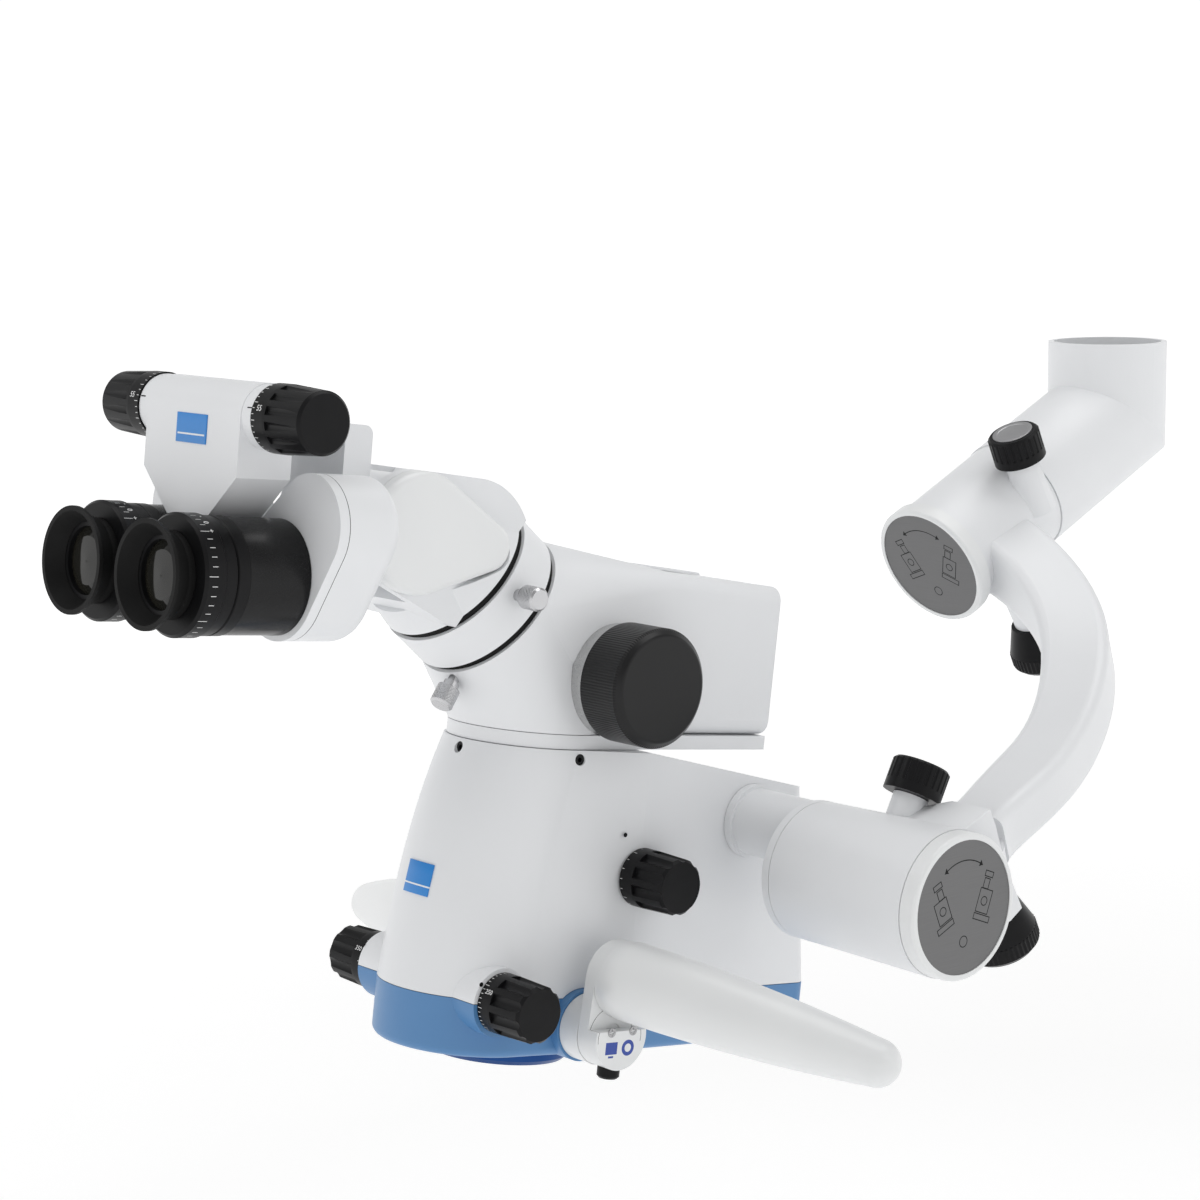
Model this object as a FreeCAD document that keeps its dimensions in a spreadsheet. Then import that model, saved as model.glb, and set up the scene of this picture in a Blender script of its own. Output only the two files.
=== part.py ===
import FreeCAD, Part
import math
import os
import Sketcher

# Surgical microscope on the last link of its ceiling or floor stand.
# Millimetres. The origin is the centre of the upper end of the vertical tube,
# +Z up, +X to the operator's right, and the operator looks along +Y.

Vector = FreeCAD.Vector
Rotation = FreeCAD.Rotation
Placement = FreeCAD.Placement

doc = FreeCAD.newDocument("SurgicalMicroscope")
sheet = doc.addObject("Spreadsheet::Sheet", "Sizes")
pieces = []


class Size:
    """A size of the sheet, or one worked out from sizes: its number and its expression."""

    def __init__(self, number, text):
        self.number = float(number)
        self.text = text

    def joined(self, sign, other, result, swapped=False):
        mate = text_of(other)
        pair = (mate, sign, self.text) if swapped else (self.text, sign, mate)
        return Size(result, "(%s %s %s)" % pair)

    def __add__(self, other):
        return self.joined("+", other, self.number + number_of(other))

    def __radd__(self, other):
        return self.joined("+", other, number_of(other) + self.number, True)

    def __sub__(self, other):
        return self.joined("-", other, self.number - number_of(other))

    def __rsub__(self, other):
        return self.joined("-", other, number_of(other) - self.number, True)

    def __mul__(self, other):
        return self.joined("*", other, self.number * number_of(other))

    def __rmul__(self, other):
        return self.joined("*", other, number_of(other) * self.number, True)

    def __truediv__(self, other):
        return self.joined("/", other, self.number / number_of(other))

    def __neg__(self):
        return Size(-self.number, "(0 - %s)" % self.text)


def number_of(value):
    return value.number if isinstance(value, Size) else float(value)


def text_of(value):
    return value.text if isinstance(value, Size) else repr(float(value))


def size(name, number):
    """Write one driving dimension in the sheet."""
    row = size.row = size.row + 1
    sheet.set("A%d" % row, name)
    sheet.set("B%d" % row, str(number))
    sheet.setAlias("B%d" % row, name)
    return Size(number, "Sizes.%s" % name)


size.row = 0

# Clearances
running_gap = size("running_gap", 0.05)
seam_gap = size("seam_gap", 0.3)

# Stand tube and pendulum axle
tube_radius = size("tube_radius", 31.0)
tube_wall = size("tube_wall", 4.0)
socket_radius = size("socket_radius", 28.0)
socket_depth = size("socket_depth", 20.0)
elbow_drop = size("elbow_drop", 42.0)
pendulum_tilt = size("pendulum_tilt", 25.0)
fixed_tube_length = size("fixed_tube_length", 82.0)
axle_radius = size("axle_radius", 13.0)
axle_flange_radius = size("axle_flange_radius", 24.0)
axle_flange_thickness = size("axle_flange_thickness", 10.0)
axle_length = size("axle_length", 58.0)
bearing_radius = size("bearing_radius", 21.0)
bearing_width = size("bearing_width", 10.0)

# Pendulum housing at the top of the curved arm
housing_radius = size("housing_radius", 30.3)
housing_length = size("housing_length", 61.7)
cap_radius = size("cap_radius", 32.2)
cap_length = size("cap_length", 8.0)
cap_rounding = size("cap_rounding", 3.0)
plate_radius = size("plate_radius", 29.3)
plate_thickness = size("plate_thickness", 1.0)

# Curved arm
arm_width = size("arm_width", 33.0)
arm_thickness = size("arm_thickness", 24.0)
arm_root_thickness = size("arm_root_thickness", 33.0)
arm_corner = size("arm_corner", 5.0)

# Tilt drum, its spindle and the shaft to the microscope body
drum_back = size("drum_back", 309.5)
drum_down = size("drum_down", 216.5)
drum_inner_end = size("drum_inner_end", 91.0)
drum_length = size("drum_length", 79.0)
drum_radius_inner = size("drum_radius_inner", 31.4)
drum_radius_outer = size("drum_radius_outer", 32.6)
spindle_radius = size("spindle_radius", 17.0)
spindle_length = size("spindle_length", 70.0)
spindle_flange = size("spindle_flange", 6.0)
bushing_radius = size("bushing_radius", 22.0)
bushing_width = size("bushing_width", 12.0)
shaft_radius = size("shaft_radius", 15.5)
shaft_offset = size("shaft_offset", 15.0)
shaft_ring_radius = size("shaft_ring_radius", 17.0)
shaft_ring_width = size("shaft_ring_width", 4.0)

# Brake knobs and tension knobs of the two joints
brake_knob_radius = size("brake_knob_radius", 13.2)
brake_knob_height = size("brake_knob_height", 15.0)
brake_boss_radius = size("brake_boss_radius", 8.0)
drum_boss_height = size("drum_boss_height", 9.5)
brake_flutes = size("brake_flutes", 24)
stud_radius = size("stud_radius", 3.0)
stud_gap = size("stud_gap", 0.4)
tension_knob_radius = size("tension_knob_radius", 17.5)
tension_knob_top = size("tension_knob_top", 13.0)
tension_knob_height = size("tension_knob_height", 24.0)
swing_brake_place = size("swing_brake_place", 93.0)
swing_brake_side = size("swing_brake_side", 24.5)
swing_brake_reach = size("swing_brake_reach", 31.0)
swing_tension_side = size("swing_tension_side", 20.0)
swing_tension_place = size("swing_tension_place", 112.0)
swing_tension_reach = size("swing_tension_reach", 54.0)
tilt_brake_place = size("tilt_brake_place", 128.0)
tilt_brake_lean = size("tilt_brake_lean", 29.0)
tilt_tension_place = size("tilt_tension_place", 150.0)
tilt_tension_back = size("tilt_tension_back", 41.6)
tilt_tension_lean = size("tilt_tension_lean", 25.0)

# Microscope body, seen in its own upright frame whose origin is on the tilt axis
head_pitch = size("head_pitch", 8.5)
body_half_width = size("body_half_width", 45.0)
body_back = size("body_back", 50.0)
nose_place = size("nose_place", 121.5)
nose_radius = size("nose_radius", 40.5)
nose_top_radius = size("nose_top_radius", 37.0)
nose_middle = size("nose_middle", 10.0)
nose_upper = size("nose_upper", 20.0)
body_top_front = size("body_top_front", 46.0)
body_top_back = size("body_top_back", 27.0)
body_seam = size("body_seam", 63.0)
body_bottom = size("body_bottom", 89.0)
body_flat_end = size("body_flat_end", 66.0)
body_wall = size("body_wall", 4.0)
body_rounding = size("body_rounding", 4.0)
optic_place = size("optic_place", 101.5)
objective_radius = size("objective_radius", 33.0)
objective_height = size("objective_height", 6.0)
lens_radius = size("lens_radius", 25.0)
lens_thickness = size("lens_thickness", 6.0)
cell_radius = size("cell_radius", 31.0)
cell_height = size("cell_height", 12.0)
cell_place = size("cell_place", 73.0)
guide_height = size("guide_height", 19.5)

# Magnification and focus knobs
mag_back = size("mag_back", 65.0)
mag_down = size("mag_down", 9.6)
focus_back = size("focus_back", 136.5)
focus_boss_radius = size("focus_boss_radius", 15.0)
focus_boss_reach = size("focus_boss_reach", 41.5)
knob_radius = size("knob_radius", 13.2)
knob_tip_radius = size("knob_tip_radius", 11.4)
knob_length = size("knob_length", 26.0)
knob_flutes = size("knob_flutes", 10)
knob_flute_radius = size("knob_flute_radius", 3.2)
drum_bar_radius = size("drum_bar_radius", 4.0)
mag_drum_radius = size("mag_drum_radius", 22.0)
mag_drum_length = size("mag_drum_length", 56.0)

# Upper housing with its side port, on a round dovetail
dovetail_radius = size("dovetail_radius", 32.0)
dovetail_depth = size("dovetail_depth", 8.0)
dovetail_taper = size("dovetail_taper", 2.0)
set_screw_radius = size("set_screw_radius", 2.5)
set_screw_length = size("set_screw_length", 5.0)
base_height = size("base_height", 6.5)
neck_radius = size("neck_radius", 36.0)
box_half_width = size("box_half_width", 35.0)
box_back = size("box_back", 15.0)
box_front = size("box_front", 52.0)
box_top = size("box_top", 122.0)
box_rounding = size("box_rounding", 7.0)
port_up = size("port_up", 77.5)
port_back = size("port_back", 85.0)
collar_radius = size("collar_radius", 25.0)
collar_length = size("collar_length", 8.0)
port_cap_radius = size("port_cap_radius", 26.5)
port_cap_length = size("port_cap_length", 25.0)
lid_width = size("lid_width", 24.0)
lid_length = size("lid_length", 30.0)
lid_height = size("lid_height", 1.2)

# Inclined rotation ring
ring_forward = size("ring_forward", 134.3)
ring_up = size("ring_up", 106.5)
ring_tilt = size("ring_tilt", 55.0)
ring_radius = size("ring_radius", 37.2)
ring_height = size("ring_height", 20.0)
seal_height = size("seal_height", 3.0)
seal_radius = size("seal_radius", 35.8)
screw_radius = size("screw_radius", 5.2)
screw_length = size("screw_length", 15.0)

# Inclinable tube body and its hinge
hinge_along = size("hinge_along", 70.0)
hinge_across = size("hinge_across", 12.4)
yoke_half_width = size("yoke_half_width", 29.0)
cover_thickness = size("cover_thickness", 7.0)
cover_radius = size("cover_radius", 26.0)
hub_radius = size("hub_radius", 23.5)
pin_radius = size("pin_radius", 5.0)
mirror_width = size("mirror_width", 30.0)

# Eyepiece carrier, in a frame whose origin is on the inclination hinge
carrier_pitch = size("carrier_pitch", 7.0)
plate_front = size("plate_front", 33.0)
plate_depth = size("plate_depth", 14.0)
plate_half_width = size("plate_half_width", 21.0)
plate_top = size("plate_top", 38.0)
plate_bottom = size("plate_bottom", 34.0)
pd_forward = size("pd_forward", 80.2)
pd_up = size("pd_up", 44.1)
pd_radius = size("pd_radius", 13.6)
pd_half_length = size("pd_half_length", 40.5)
shield_half_width = size("shield_half_width", 33.5)
shield_low = size("shield_low", 19.5)
shield_tip = size("shield_tip", 1.6)
shield_tip_half_width = size("shield_tip_half_width", 14.0)
shield_depth = size("shield_depth", 26.0)
pd_knob_radius = size("pd_knob_radius", 14.0)
pd_knob_tip_radius = size("pd_knob_tip_radius", 11.6)
pd_knob_length = size("pd_knob_length", 30.3)
pd_spindle_radius = size("pd_spindle_radius", 4.0)

# Prism housings and eyepieces
eye_distance = size("eye_distance", 55.0)
eye_down = size("eye_down", 19.8)
prism_front = size("prism_front", 66.4)
prism_depth = size("prism_depth", 32.0)
prism_low_radius = size("prism_low_radius", 26.0)
prism_lobe_radius = size("prism_lobe_radius", 21.5)
prism_lobe_side = size("prism_lobe_side", 18.5)
prism_lobe_up = size("prism_lobe_up", 21.8)
prism_rounding = size("prism_rounding", 7.0)
eye_tube_radius = size("eye_tube_radius", 23.6)
eye_tube_length = size("eye_tube_length", 29.0)
eye_wall = size("eye_wall", 3.0)
diopter_radius = size("diopter_radius", 24.7)
diopter_length = size("diopter_length", 21.0)
eyecup_radius = size("eyecup_radius", 22.0)
eyecup_root_radius = size("eyecup_root_radius", 17.5)
eyecup_length = size("eyecup_length", 14.0)
eyecup_wall = size("eyecup_wall", 1.6)
eye_lens_radius = size("eye_lens_radius", 14.0)

# Handles
handle_back = size("handle_back", 90.5)
handle_down = size("handle_down", 75.0)
handle_boss_radius = size("handle_boss_radius", 16.0)
handle_boss_reach = size("handle_boss_reach", 46.0)
handle_pin_radius = size("handle_pin_radius", 5.0)
handle_base_radius = size("handle_base_radius", 14.8)
handle_base_length = size("handle_base_length", 11.4)
handle_arm_radius = size("handle_arm_radius", 14.5)
handle_arm_width = size("handle_arm_width", 12.3)
handle_arm_rise = size("handle_arm_rise", 24.5)
grip_length = size("grip_length", 126.0)
grip_root_radius = size("grip_root_radius", 17.5)
grip_tip_radius = size("grip_tip_radius", 10.5)
grip_sweep = size("grip_sweep", 22.0)
grip_dip = size("grip_dip", 15.4)
button_radius = size("button_radius", 5.0)
button_travel = size("button_travel", 2.0)

doc.recompute()


def origin_plane(body, role):
    return next(item for item in body.Origin.OriginFeatures if item.Role == role)


def new_body(label):
    body = doc.addObject("PartDesign::Body", label)
    body.Label = label
    return body


def new_sketch(body, role="XY_Plane", lift=None):
    """A sketch on a plane of the body's origin, moved along the plane's normal by lift."""
    sketch = body.newObject("Sketcher::SketchObject", body.Name + "_sketch")
    sketch.AttachmentSupport = [(origin_plane(body, role), "")]
    sketch.MapMode = "FlatFace"
    if lift is not None:
        sketch.AttachmentOffset = Placement(Vector(0, 0, number_of(lift)), Rotation())
        sketch.setExpression("AttachmentOffset.Base.z", text_of(lift))
    return sketch


def hold(sketch, kind, geometry, end, value):
    """Fix one coordinate of a point of the sketch, from its origin."""
    place = sketch.addConstraint(Sketcher.Constraint(kind, -1, 1, geometry, end, number_of(value)))
    if isinstance(value, Size):
        sketch.setExpression("Constraints[%d]" % place, value.text)


def hold_point(sketch, geometry, end, x, y):
    hold(sketch, "DistanceX", geometry, end, x)
    hold(sketch, "DistanceY", geometry, end, y)


def hold_radius(sketch, geometry, radius):
    place = sketch.addConstraint(Sketcher.Constraint("Radius", geometry, number_of(radius)))
    if isinstance(radius, Size):
        sketch.setExpression("Constraints[%d]" % place, radius.text)


def polygon(sketch, corners):
    """A closed outline of straight lines through the corners."""
    first = sketch.GeometryCount
    points = [Vector(number_of(x), number_of(y), 0) for x, y in corners]
    count = len(points)
    for i in range(count):
        sketch.addGeometry(Part.LineSegment(points[i], points[(i + 1) % count]), False)
    for i in range(count):
        following = first + (i + 1) % count
        sketch.addConstraint(Sketcher.Constraint("Coincident", first + i, 2, following, 1))
    for i, (x, y) in enumerate(corners):
        hold_point(sketch, first + i, 1, x, y)


def circle(sketch, x, y, radius):
    centre = Vector(number_of(x), number_of(y), 0)
    round_line = Part.Circle(centre, Vector(0, 0, 1), number_of(radius))
    geometry = sketch.addGeometry(round_line, False)
    hold_point(sketch, geometry, 3, x, y)
    hold_radius(sketch, geometry, radius)


def belt(sketch, x1, y1, r1, x2, y2, r2):
    """The outline of a belt round two circles: two arcs and their outer tangents."""
    a = Vector(number_of(x1), number_of(y1), 0)
    b = Vector(number_of(x2), number_of(y2), 0)
    ra = number_of(r1)
    rb = number_of(r2)
    heading = math.atan2(b.y - a.y, b.x - a.x)
    spread = math.acos((ra - rb) / (b - a).Length)
    left = heading + spread
    right = heading - spread
    arc_a = Part.ArcOfCircle(Part.Circle(a, Vector(0, 0, 1), ra), left, right + 2 * math.pi)
    arc_b = Part.ArcOfCircle(Part.Circle(b, Vector(0, 0, 1), rb), right, left)
    first = sketch.addGeometry(arc_a, False)
    second = sketch.addGeometry(arc_b, False)
    lower = sketch.addGeometry(Part.LineSegment(arc_a.EndPoint, arc_b.StartPoint), False)
    upper = sketch.addGeometry(Part.LineSegment(arc_b.EndPoint, arc_a.StartPoint), False)
    sketch.addConstraint(Sketcher.Constraint("Tangent", first, 2, lower, 1))
    sketch.addConstraint(Sketcher.Constraint("Tangent", lower, 2, second, 1))
    sketch.addConstraint(Sketcher.Constraint("Tangent", second, 2, upper, 1))
    sketch.addConstraint(Sketcher.Constraint("Tangent", upper, 2, first, 1))
    hold_point(sketch, first, 3, x1, y1)
    hold_point(sketch, second, 3, x2, y2)
    hold_radius(sketch, first, r1)
    hold_radius(sketch, second, r2)


def pad(body, sketch, length, reverse=False):
    feature = body.newObject("PartDesign::Pad", body.Name + "_pad")
    feature.Profile = sketch
    feature.Reversed = reverse
    feature.setExpression("Length", text_of(length))
    doc.recompute()
    return feature


def pocket(body, sketch, length=None, reverse=False):
    """Cut the sketch into the body, or through all of it, and see that it took something away."""
    before = body.Shape.Volume
    feature = body.newObject("PartDesign::Pocket", body.Name + "_pocket")
    feature.Profile = sketch
    feature.Reversed = reverse
    if length is None:
        feature.Type = "ThroughAll"
    else:
        feature.setExpression("Length", text_of(length))
    doc.recompute()
    if body.Shape.Volume > before - 0.01:
        raise ValueError(body.Label + ": a pocket cut nothing")
    return feature


def turn(body, corners, kind="PartDesign::Revolution"):
    """A profile of radius and height corners, turned about the body's Z axis."""
    sketch = new_sketch(body, "XZ_Plane")
    polygon(sketch, corners)
    feature = body.newObject(kind, body.Name + "_turn")
    feature.Profile = sketch
    feature.ReferenceAxis = (sketch, ["V_Axis"])
    feature.Angle = 360
    doc.recompute()
    return feature


def round_edges(body, radius, chosen, kind="PartDesign::Fillet"):
    """Fillet or chamfer the edges of the body that the test picks."""
    base = body.Tip
    names = ["Edge%d" % (i + 1) for i, edge in enumerate(base.Shape.Edges) if chosen(edge)]
    if not names:
        raise ValueError(body.Label + ": no edge to round")
    feature = body.newObject(kind, body.Name + "_rounding")
    feature.Base = (base, names)
    prop = "Radius" if kind.endswith("Fillet") else "Size"
    feature.setExpression(prop, text_of(radius))
    doc.recompute()
    return feature


def repeat_round(body, feature, count):
    """Repeat a cut round the body's Z axis."""
    pattern = body.newObject("PartDesign::PolarPattern", body.Name + "_pattern")
    pattern.Originals = [feature]
    pattern.Axis = (origin_plane(body, "Z_Axis"), [""])
    pattern.Angle = 360
    pattern.setExpression("Occurrences", text_of(count))
    body.Tip = pattern
    doc.recompute()


def at_height(edge, height, tolerance=0.01):
    return all(abs(vertex.Z - number_of(height)) < tolerance for vertex in edge.Vertexes)


def is_round(edge):
    return isinstance(edge.Curve, Part.Circle)


def keep(item, label, placement=None):
    """Name a finished piece and put it in its place."""
    item.Label = label
    if placement is not None:
        item.Placement = placement
    pieces.append(item)
    return item


def shift(x=0, y=0, z=0):
    return Placement(Vector(number_of(x), number_of(y), number_of(z)), Rotation())


def spin(axis, angle):
    return Placement(Vector(), Rotation(axis, number_of(angle)))


X_AXIS = Vector(1, 0, 0)
Y_AXIS = Vector(0, 1, 0)
Z_AXIS = Vector(0, 0, 1)

# Frames: each turns a local Z axis, or an upright local frame, into its place on the stand
pendulum_frame = shift(z=-elbow_drop) * spin(X_AXIS, pendulum_tilt + 90)
tilt_frame = shift(y=-drum_back, z=-drum_down)
side_turn = spin(Y_AXIS, 90)
drum_frame = tilt_frame * side_turn
head_frame = tilt_frame * spin(X_AXIS, -head_pitch)
ring_frame = head_frame * shift(y=-ring_forward, z=ring_up) * spin(X_AXIS, ring_tilt)
hinge_frame = ring_frame * shift(y=-hinge_across, z=hinge_along)
hinge_point = hinge_frame.Base
carrier_frame = Placement(hinge_point, Rotation(X_AXIS, -carrier_pitch.number))


def side_frame(frame, y, z, side=1):
    """A frame whose Z axis points out of the part's right or left side at (y, z) of a frame."""
    return frame * shift(y=y, z=z) * spin(Y_AXIS, 90 * side)


def plain_cylinder(name, radius, height, placement):
    item = doc.addObject("Part::Cylinder", name)
    item.setExpression("Radius", text_of(radius))
    item.setExpression("Height", text_of(height))
    item.Placement = placement
    return item


def plain_cone(name, radius1, radius2, height, placement):
    item = doc.addObject("Part::Cone", name)
    item.setExpression("Radius1", text_of(radius1))
    item.setExpression("Radius2", text_of(radius2))
    item.setExpression("Height", text_of(height))
    item.Placement = placement
    return item


def plain_sphere(name, radius, placement):
    item = doc.addObject("Part::Sphere", name)
    item.setExpression("Radius", text_of(radius))
    item.Placement = placement
    return item


def plain_box(name, length, width, height, placement):
    item = doc.addObject("Part::Box", name)
    item.setExpression("Length", text_of(length))
    item.setExpression("Width", text_of(width))
    item.setExpression("Height", text_of(height))
    item.Placement = placement
    return item


def fused(name, items):
    item = doc.addObject("Part::MultiFuse", name)
    item.Shapes = items
    item.Refine = True
    doc.recompute()
    return item


def cut(name, base, tool):
    item = doc.addObject("Part::Cut", name)
    item.Base = base
    item.Tool = tool
    item.Refine = True
    doc.recompute()
    return item


def mitred_pipe(name, radius, length):
    """An upright and an inclined rod of one radius that meet on the bisecting plane."""
    reach = radius
    bisector = pendulum_frame.Rotation.multVec(Z_AXIS) - Z_AXIS
    turned_to = Placement(pendulum_frame.Base, Rotation(Z_AXIS, bisector))
    middle = shift(x=-4 * radius, y=-4 * radius)
    lower_side = plain_box(name + "_lower_side", 8 * radius, 8 * radius, 4 * radius,
                           turned_to * middle)
    upper_side = plain_box(name + "_upper_side", 8 * radius, 8 * radius, 4 * radius,
                           turned_to * middle * shift(z=-4 * radius))
    upright_rod = plain_cylinder(name + "_upright", radius, elbow_drop + reach, spin(X_AXIS, 180))
    inclined_rod = plain_cylinder(name + "_inclined", radius, length + reach,
                                  pendulum_frame * shift(z=-reach))
    return [cut(name + "_top", upright_rod, lower_side),
            cut(name + "_end", inclined_rod, upper_side)]


def group_of(label, items):
    """Several like solids kept together as one node."""
    group = doc.addObject("Part::Compound", label)
    group.Links = items
    keep(group, label)


def elbow_tube():
    """Vertical tube and inclined tube that meet in an elbow, open at the top."""
    inner = tube_radius - tube_wall
    far_end = fixed_tube_length - seam_gap
    skin = fused("elbow_skin", mitred_pipe("elbow", tube_radius, far_end))
    hole = plain_cylinder("axle_hole", axle_radius + running_gap, far_end, pendulum_frame)
    socket = plain_cylinder("stand_socket", socket_radius, socket_depth, spin(X_AXIS, 180))
    space = fused("elbow_space",
                  mitred_pipe("elbow_bore", inner, far_end - tube_wall) + [hole, socket])
    keep(cut("elbow_tube", skin, space), "elbow_tube")


def pendulum_axle():
    """Fixed axle, its flange bolted inside the end wall of the inclined tube."""
    body = new_body("pendulum_axle")
    wall_face = fixed_tube_length - seam_gap - tube_wall
    back = wall_face - axle_flange_thickness
    end = fixed_tube_length + axle_length
    turn(body, [(0, back), (axle_flange_radius, back), (axle_flange_radius, wall_face),
                (axle_radius, wall_face), (axle_radius, end), (0, end)])
    keep(body, "pendulum_axle", pendulum_frame)


def ring_solid(name, inner, outer, width, placement):
    """A plain ring, such as a bearing or a bush."""
    disc = plain_cylinder(name + "_disc", outer, width, placement)
    hole = plain_cylinder(name + "_hole", inner, width, placement)
    return cut(name, disc, hole)


def axle_bearings():
    """Two bearings that carry the pendulum housing on the fixed axle."""
    first = fixed_tube_length + 4
    last = fixed_tube_length + axle_length - bearing_width
    rings = [ring_solid("bearing_%d" % i, axle_radius + running_gap, bearing_radius - running_gap,
                        bearing_width, pendulum_frame * shift(z=place))
             for i, place in enumerate((first, last))]
    group_of("axle_bearings", rings)


ARM_STATIONS = (
    # place of the middle of the upper face, width direction, share of the root thickness
    ((4, -115, -82), (0.0, 0.93, 0.37), 1.0),
    ((26, -112, -86), (0.05, 0.94, 0.33), 0.9),
    ((57, -114, -103), (0.30, 0.92, 0.25), 0.5),
    ((83, -127, -123), (0.62, 0.75, 0.22), 0.15),
    ((103, -151, -145), (0.90, 0.40, 0.15), 0.0),
    ((121, -187, -164), (0.98, 0.15, 0.08), 0.0),
    ((135, -232, -178), (1.0, 0.0, 0.0), 0.0),
    ((143, -268, -189), (1.0, 0.0, 0.0), 0.0),
)


def arm_section(index, station, before, after):
    """One rounded rectangle across the curved arm."""
    place, across, share = station
    middle = Vector(*place)
    along = (Vector(*after) - Vector(*before)).normalize()
    across = Vector(*across)
    across = (across - along * across.dot(along)).normalize()
    up = across.cross(along).normalize() * -1
    thickness = arm_thickness + (arm_root_thickness - arm_thickness) * share
    half = thickness / 2
    sketch = doc.addObject("Sketcher::SketchObject", "arm_section_%d" % index)
    side = arm_width / 2
    low = -half
    corners = ((-side, low), (side, low), (side, half), (-side, half))
    rounded_rectangle(sketch, corners, arm_corner)
    sketch.Placement = Placement(middle - up * number_of(half), Rotation(across, up, Vector(), "XYZ"))
    return sketch


def rounded_rectangle(sketch, corners, radius):
    """A rectangle with four equal arcs at its corners, from lower left round to upper left."""
    (left, low), (right, _), (_, high), _ = corners
    r = number_of(radius)
    x0, x1 = number_of(left), number_of(right)
    y0, y1 = number_of(low), number_of(high)
    centres = ((x1 - r, y0 + r), (x1 - r, y1 - r), (x0 + r, y1 - r), (x0 + r, y0 + r))
    bounds = ((right, low), (right, high), (left, high), (left, low))
    arcs = []
    lines = []
    for i, (cx, cy) in enumerate(centres):
        start = math.radians(-90 + 90 * i)
        round_line = Part.Circle(Vector(cx, cy, 0), Vector(0, 0, 1), r)
        arcs.append(sketch.addGeometry(Part.ArcOfCircle(round_line, start, start + math.pi / 2), False))
    for i in range(4):
        here = sketch.Geometry[arcs[i]]
        there = sketch.Geometry[arcs[(i + 1) % 4]]
        lines.append(sketch.addGeometry(Part.LineSegment(here.EndPoint, there.StartPoint), False))
    for i in range(4):
        sketch.addConstraint(Sketcher.Constraint("Tangent", arcs[i], 2, lines[i], 1))
        sketch.addConstraint(Sketcher.Constraint("Tangent", lines[i], 2, arcs[(i + 1) % 4], 1))
    for i in range(1, 4):
        sketch.addConstraint(Sketcher.Constraint("Equal", arcs[0], arcs[i]))
    hold_radius(sketch, arcs[0], radius)
    sketch.addConstraint(Sketcher.Constraint("Vertical", lines[0]))
    sketch.addConstraint(Sketcher.Constraint("Horizontal", lines[1]))
    hold(sketch, "DistanceX", lines[0], 1, bounds[0][0])
    hold(sketch, "DistanceY", lines[1], 1, bounds[1][1])
    hold(sketch, "DistanceX", lines[2], 1, bounds[2][0])
    hold(sketch, "DistanceY", lines[3], 1, bounds[3][1])


def curved_arm():
    """The solid arm between the pendulum housing and the tilt drum."""
    places = [station[0] for station in ARM_STATIONS]
    sections = []
    for i, station in enumerate(ARM_STATIONS):
        before = places[max(i - 1, 0)]
        after = places[min(i + 1, len(places) - 1)]
        sections.append(arm_section(i, station, before, after))
    loft = doc.addObject("Part::Loft", "curved_arm")
    loft.Sections = sections
    loft.Solid = True
    loft.Ruled = False
    doc.recompute()
    return loft


# Frames of the knobs of the two joints
swing_brake_frame = (pendulum_frame * shift(x=swing_brake_side, z=swing_brake_place)
                     * spin(X_AXIS, -90))
swing_tension_frame = (pendulum_frame * shift(x=swing_tension_side, z=swing_tension_place)
                       * spin(X_AXIS, 90))
tilt_brake_frame = (tilt_frame * shift(x=tilt_brake_place) * spin(X_AXIS, -tilt_brake_lean))
tilt_tension_frame = (tilt_frame * shift(x=tilt_tension_place, y=tilt_tension_back)
                      * spin(X_AXIS, 180 + tilt_tension_lean))


def swing_arm():
    """Casting that swings like a pendulum: housing, curved arm and tilt drum in one piece."""
    boss_base = drum_radius_outer - 6
    drum_boss = drum_radius_outer + drum_boss_height - boss_base
    solid = fused("swing_arm_skin", [
        plain_cylinder("housing", housing_radius, housing_length,
                       pendulum_frame * shift(z=fixed_tube_length)),
        curved_arm(),
        plain_cone("drum", drum_radius_inner, drum_radius_outer, drum_length,
                   drum_frame * shift(z=drum_inner_end)),
        plain_cone("swing_brake_boss", brake_boss_radius + 2.5, brake_boss_radius,
                   swing_brake_reach - 2, swing_brake_frame * shift(z=2)),
        plain_cone("swing_tension_boss", tension_knob_top + 1, tension_knob_top - 2,
                   swing_tension_reach - 20, swing_tension_frame * shift(z=20)),
        plain_cylinder("tilt_brake_boss", brake_boss_radius, drum_boss,
                       tilt_brake_frame * shift(z=boss_base)),
        plain_cone("tilt_tension_boss", tension_knob_top + 2, tension_knob_top - 1, 24,
                   tilt_tension_frame * shift(z=-14))])
    housing_bore = fixed_tube_length - 1
    drum_bore = drum_inner_end - 1
    space = fused("swing_arm_space", [
        plain_cylinder("housing_bore", bearing_radius, housing_length + 2,
                       pendulum_frame * shift(z=housing_bore)),
        plain_cylinder("drum_bore", bushing_radius, drum_length + 2,
                       drum_frame * shift(z=drum_bore)),
        plain_cylinder("swing_brake_hole", stud_radius + running_gap, 60,
                       swing_brake_frame),
        plain_cylinder("swing_tension_hole", stud_radius + running_gap, 80,
                       swing_tension_frame),
        plain_cylinder("tilt_brake_hole", stud_radius + running_gap, 60,
                       tilt_brake_frame),
        plain_cylinder("tilt_tension_hole", stud_radius + running_gap, 24,
                       tilt_tension_frame * shift(z=-6))])
    keep(cut("swing_arm", solid, space), "swing_arm")


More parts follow.
